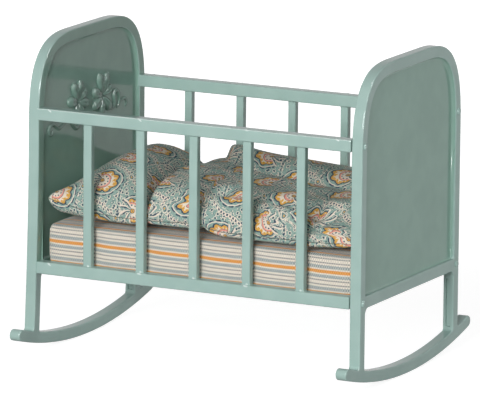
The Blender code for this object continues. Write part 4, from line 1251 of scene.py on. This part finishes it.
def makePrint():
    # Printed plain-weave cotton with a traditional all-over pattern: scalloped blossoms with a
    # spray of leaves, in a lattice of dotted bands with small rosettes. Matt, a little dusty.
    material, tree = newMaterial("printedCotton")
    cloth = addNode(tree, "UVMap", {"uv_map": "cloth"}).outputs[0]
    # hand-drawn lines: the place is nudged a little before anything is drawn
    nudge = addNode(tree, "TexNoise", {"noise_dimensions": "2D"}, {
        "Vector": cloth, "Scale": 0.55, "Detail": 1.0})
    nudged = addNode(tree, "VectorMath", {"operation": "MULTIPLY_ADD"}, {
        0: nudge.outputs["Color"], 1: (0.5, 0.5, 0), 2: cloth})
    parts = addNode(tree, "SeparateXYZ", None, {0: nudged.outputs[0]})
    known = {"x": parts.outputs[0], "y": parts.outputs[1]}
    seams = addNode(tree, "UVMap", {"uv_map": "seams"}).outputs[0]
    gaps = addNode(tree, "SeparateXYZ", None, {0: seams})
    known.update(fromEnds=gaps.outputs[0], fromSides=gaps.outputs[1])
    column, row = cotton["column"], cotton["row"]
    turn = 2 * math.pi
    apart = 1 / math.hypot(1 / column, 1 / row)      # mm between two bands that run the same way
    run = math.hypot(column, row) / 2                # mm along a band from one crossing to the next

    def onBlossom(name, *test):
        # a test that only holds on the blossom's petalled side
        return (name + "Round", *test), (name, "MULTIPLY", name + "Round", "petalled")

    # Lengths are mm on the cloth. p and q count the motifs along the two slants, a and b are the place
    # in a motif, d is the distance from its eye, and t and s are shares of the petals' reach.
    runSteps(tree, known, "Math", [
        # slanting coordinates, whole numbers of both at each motif's centre
        ("xs", "DIVIDE", "x", column), ("ys", "DIVIDE", "y", row),
        ("p", "ADD", "xs", "ys"), ("q", "SUBTRACT", "xs", "ys"),
        ("pTurn", "MULTIPLY", "p", turn), ("qTurn", "MULTIPLY", "q", turn),
        ("pSin", "SINE", "pTurn"), ("qSin", "SINE", "qTurn"),
        ("pw", "MULTIPLY_ADD", "qSin", -0.05, "p"), ("qw", "MULTIPLY_ADD", "pSin", 0.05, "q"),
        ("pNear", "ROUND", "pw"), ("qNear", "ROUND", "qw"),
        ("pIn", "SUBTRACT", "pw", "pNear"), ("qIn", "SUBTRACT", "qw", "qNear"),
        ("pAbs", "ABSOLUTE", "pIn"), ("qAbs", "ABSOLUTE", "qIn"),
        # mm to the lattice lines
        ("pGap", "MULTIPLY_ADD", "pAbs", -apart, apart / 2),
        ("qGap", "MULTIPLY_ADD", "qAbs", -apart, apart / 2),
        ("pLocal", "SUBTRACT", "p", "pNear"), ("qLocal", "SUBTRACT", "q", "qNear"),
        ("sum", "ADD", "pLocal", "qLocal"), ("difference", "SUBTRACT", "pLocal", "qLocal"),
        ("a", "MULTIPLY_ADD", "sum", -column / 2, 1.3), ("b", "MULTIPLY", "difference", row / 2),
        # bands: a cream ribbon with navy dots one way, two thin cream lines the other
        ("pDotTurn", "MULTIPLY", "q", turn * run / 1.3), ("pDotSin", "SINE", "pDotTurn"),
        ("ribbonHalf", "MULTIPLY_ADD", "pDotSin", 0.12, 0.55), ("ribbon", "LESS_THAN", "pGap", "ribbonHalf"),
        ("pDotOn", "GREATER_THAN", "pDotSin", -0.1), ("pDotLine", "LESS_THAN", "pGap", 0.32),
        ("ribbonDots", "MULTIPLY", "pDotOn", "pDotLine"),
        ("fringeBand", "COMPARE", "pGap", 1.02, 0.08), ("fringe", "MULTIPLY", "fringeBand", "pDotOn"),
        ("qDotTurn", "MULTIPLY", "p", turn * run / 1.2), ("qDotSin", "SINE", "qDotTurn"),
        ("qDotOn", "GREATER_THAN", "qDotSin", -0.1), ("qDotLine", "LESS_THAN", "qGap", 0.29),
        ("lineDots", "MULTIPLY", "qDotOn", "qDotLine"),
        ("lineBand", "COMPARE", "qGap", 0.62, 0.13), ("lineTurn", "MULTIPLY", "p", turn * run / 1.9),
        ("lineSin", "SINE", "lineTurn"), ("lineOn", "GREATER_THAN", "lineSin", -0.55),
        ("line", "MULTIPLY", "lineBand", "lineOn"),
        # rosettes where the bands cross
        ("pSquare", "MULTIPLY", "pGap", "pGap"), ("roseSquare", "MULTIPLY_ADD", "qGap", "qGap", "pSquare"),
        ("rose", "SQRT", "roseSquare"), ("roseClear", "LESS_THAN", "rose", 1.35),
        ("roseRing", "COMPARE", "rose", 1.02, 0.16),
        ("roseAngle", "ARCTAN2", "pGap", "qGap"), ("roseTurn", "MULTIPLY", "roseAngle", 12.0),
        ("roseSin", "SINE", "roseTurn"), ("roseOn", "GREATER_THAN", "roseSin", -0.2),
        ("roseBand", "COMPARE", "rose", 0.62, 0.16), ("roseDots", "MULTIPLY", "roseOn", "roseBand"),
        ("roseEye", "LESS_THAN", "rose", 0.34),
        # the blossom, in turns and distances round its eye; a turn of 0 points to the left
        ("aSquare", "MULTIPLY", "a", "a"), ("dSquare", "MULTIPLY_ADD", "b", "b", "aSquare"),
        ("d", "SQRT", "dSquare"),
        ("aimed", "ARCTAN2", "b", "a"), ("straight", "SUBTRACT", "aimed", cotton["aim"]),
        ("angle", "MULTIPLY_ADD", "d", 0.05, "straight"),
        ("cosine", "COSINE", "angle"), ("petalled", "GREATER_THAN", "cosine", -0.42),
        ("leftShare", "MULTIPLY_ADD", "cosine", 0.5, 0.5), ("leftPower", "POWER", "leftShare", 2.2),
        ("reach", "MULTIPLY_ADD", "leftPower", 2.0, 3.7), ("t", "DIVIDE", "d", "reach"),
        ("lobeTurn", "MULTIPLY", "angle", 4.5), ("lobeSin", "SINE", "lobeTurn"),
        ("lobeAbs", "ABSOLUTE", "lobeSin"), ("s", "MULTIPLY_ADD", "lobeAbs", -0.15, "t"),
        *onBlossom("clear", "LESS_THAN", "t", 1.42),
        ("ring", "MULTIPLY_ADD", "reach", -1.20, "d"),
        ("dashTurn", "MULTIPLY", "angle", 15.0), ("dashSin", "SINE", "dashTurn"),
        ("dashOn", "GREATER_THAN", "dashSin", -0.60), ("dashRing", "COMPARE", "ring", 0.42, 0.25),
        *onBlossom("dash", "MULTIPLY", "dashOn", "dashRing"), *onBlossom("halo", "COMPARE", "ring", 0, 0.17),
        *onBlossom("ink", "LESS_THAN", "s", 0.955), *onBlossom("petal", "LESS_THAN", "s", 0.85),
        *onBlossom("inner", "LESS_THAN", "s", 0.60),
        ("veinTurn", "MULTIPLY", "angle", 18.0), ("veinSin", "SINE", "veinTurn"),
        ("veinOn", "GREATER_THAN", "veinSin", 0.55), ("veinBand", "COMPARE", "s", 0.66, 0.07),
        *onBlossom("vein", "MULTIPLY", "veinOn", "veinBand"), *onBlossom("rim", "LESS_THAN", "d", 2.98),
        *onBlossom("blush", "LESS_THAN", "d", 2.84), *onBlossom("heart", "LESS_THAN", "d", 2.32),
        ("beadTurn", "MULTIPLY", "angle", 10.0), ("beadSin", "SINE", "beadTurn"),
        ("beadOn", "GREATER_THAN", "beadSin", 0.2), ("beadRing", "COMPARE", "d", 1.90, 0.24),
        *onBlossom("bead", "MULTIPLY", "beadOn", "beadRing"),
        ("eyeRim", "LESS_THAN", "d", 0.78), ("eye", "LESS_THAN", "d", 0.58),
        ("pupil", "LESS_THAN", "d", 0.20),
        # the spray of leaves on its other side
        ("leafy", "LESS_THAN", "cosine", -0.30),
        ("leafEven", "MULTIPLY", "straight", 12.0), ("leafTurn", "MULTIPLY_ADD", "d", 1.1, "leafEven"),
        ("leafSin", "SINE", "leafTurn"), ("leafCos", "COSINE", "leafTurn"),
        ("leafReach", "MULTIPLY_ADD", "leafSin", 0.7, 4.3), ("leafNear", "LESS_THAN", "d", "leafReach"),
        ("leafIn", "MULTIPLY", "leafNear", "leafy"), ("leafOn", "GREATER_THAN", "leafSin", 0.40),
        ("leaf", "MULTIPLY", "leafIn", "leafOn"),
        ("stemOn", "GREATER_THAN", "leafCos", 0.70), ("stem", "MULTIPLY", "leafIn", "stemOn"),
    ])
    # small strokes that fill the ground between the blossoms
    fillers = addNode(tree, "TexVoronoi", {"voronoi_dimensions": "2D"}, {
        "Vector": cloth, "Scale": 0.72, "Randomness": 0.8})
    curls = addNode(tree, "TexVoronoi", {"voronoi_dimensions": "2D"}, {
        "Vector": cloth, "Scale": 0.50, "Randomness": 0.9})
    change = addNode(tree, "TexNoise", {"noise_dimensions": "2D"}, {
        "Vector": cloth, "Scale": 0.9, "Detail": 1.0})
    known.update(dots=fillers.outputs["Distance"], rings=curls.outputs["Distance"],
                 change=change.outputs["Fac"])
    runSteps(tree, known, "Math", [
        ("dotOn", "LESS_THAN", "dots", 0.14), ("dotInk", "COMPARE", "dots", 0.27, 0.05),
        ("ringOn", "COMPARE", "rings", 0.27, 0.045), ("ringInk", "LESS_THAN", "rings", 0.17),
        ("strokeOn", "LESS_THAN", "change", 0.47), ("stroke", "MULTIPLY", "dotInk", "strokeOn"),
        # a dark line along the seams: painted shade
        ("seamGap", "MINIMUM", "fromEnds", "fromSides"), ("seamShadeLine", "LESS_THAN", "seamGap", 0.13),
    ])
    # each mask and its dye, the lowest first; the last is painted shade along the seams
    layers = (
        ("stroke", "navy"), ("ringOn", "cream"), ("ringInk", "navy"), ("dotOn", "cream"),
        ("fringe", "cream"), ("line", "cream"), ("lineDots", "navy"),
        ("ribbon", "cream"), ("ribbonDots", "navy"),
        ("roseClear", "ground"), ("roseRing", "cream"), ("roseDots", "navy"), ("roseEye", "ochre"),
        ("clear", "ground"), ("dash", "navy"), ("halo", "cream"),
        ("leaf", "cream"), ("stem", "navy"),
        ("ink", "navy"), ("petal", "ochre"), ("inner", "cream"), ("vein", "cream"),
        ("rim", "navy"), ("blush", "pink"), ("heart", "cream"), ("bead", "navy"),
        ("eyeRim", "navy"), ("eye", "ochre"), ("pupil", "navy"), ("seamShadeLine", "shade"))
    colour = linearColour(cotton["ground"])
    for mask, name in layers:
        colour = addNode(tree, "Mix", {"data_type": "RGBA"}, {
            0: known[mask], 6: colour, 7: linearColour(cotton[name])}).outputs[2]
    # undyed fibres show through as small light specks, and the thread breaks up the light
    fibres = addNode(tree, "TexNoise", {"noise_dimensions": "2D"}, {
        "Vector": cloth, "Scale": 2.6, "Detail": 2.0, "Roughness": 0.7})
    known["fibre"] = fibres.outputs["Fac"]
    runSteps(tree, known, "Math", [
        ("pale", "SUBTRACT", "fibre", 0.50), ("specks", "MULTIPLY", "pale", 1.7),
    ])
    dusty = addNode(tree, "Mix", {"data_type": "RGBA", "clamp_factor": True}, {
        0: known["specks"], 6: colour, 7: linearColour(cotton["cream"])})
    raised = addNode(tree, "Bump", None, {"Height": known["fibre"], "Strength": 0.4,
                                          "Distance": cotton["thread"] * mm})
    matt = addNode(tree, "BsdfPrincipled", None, {
        "Base Color": dusty.outputs[2], "Roughness": 0.9, "Sheen Weight": 0.04, "Sheen Roughness": 0.5,
        "Specular IOR Level": 0.08, "Normal": raised.outputs[0]})
    addNode(tree, "OutputMaterial", None, {"Surface": matt.outputs[0]})
    return material


printedCotton = makePrint()
pillowPad = sewnCushion("pillowPad", pillow, pillowRule)
duvetPad = sewnCushion("duvetPad", duvet, duvetRule)
finishPiece(pillowPad, printedCotton, "pillow", "print", "pillow")
finishPiece(duvetPad, printedCotton, "duvet", "print", "duvet")
settleCloth(pillowPad, pillow["heldBelow"])
settleCloth(duvetPad, duvet["heldBelow"])
subdivideOnce(pillowPad)
subdivideOnce(duvetPad)
print("pillow and duvet done")
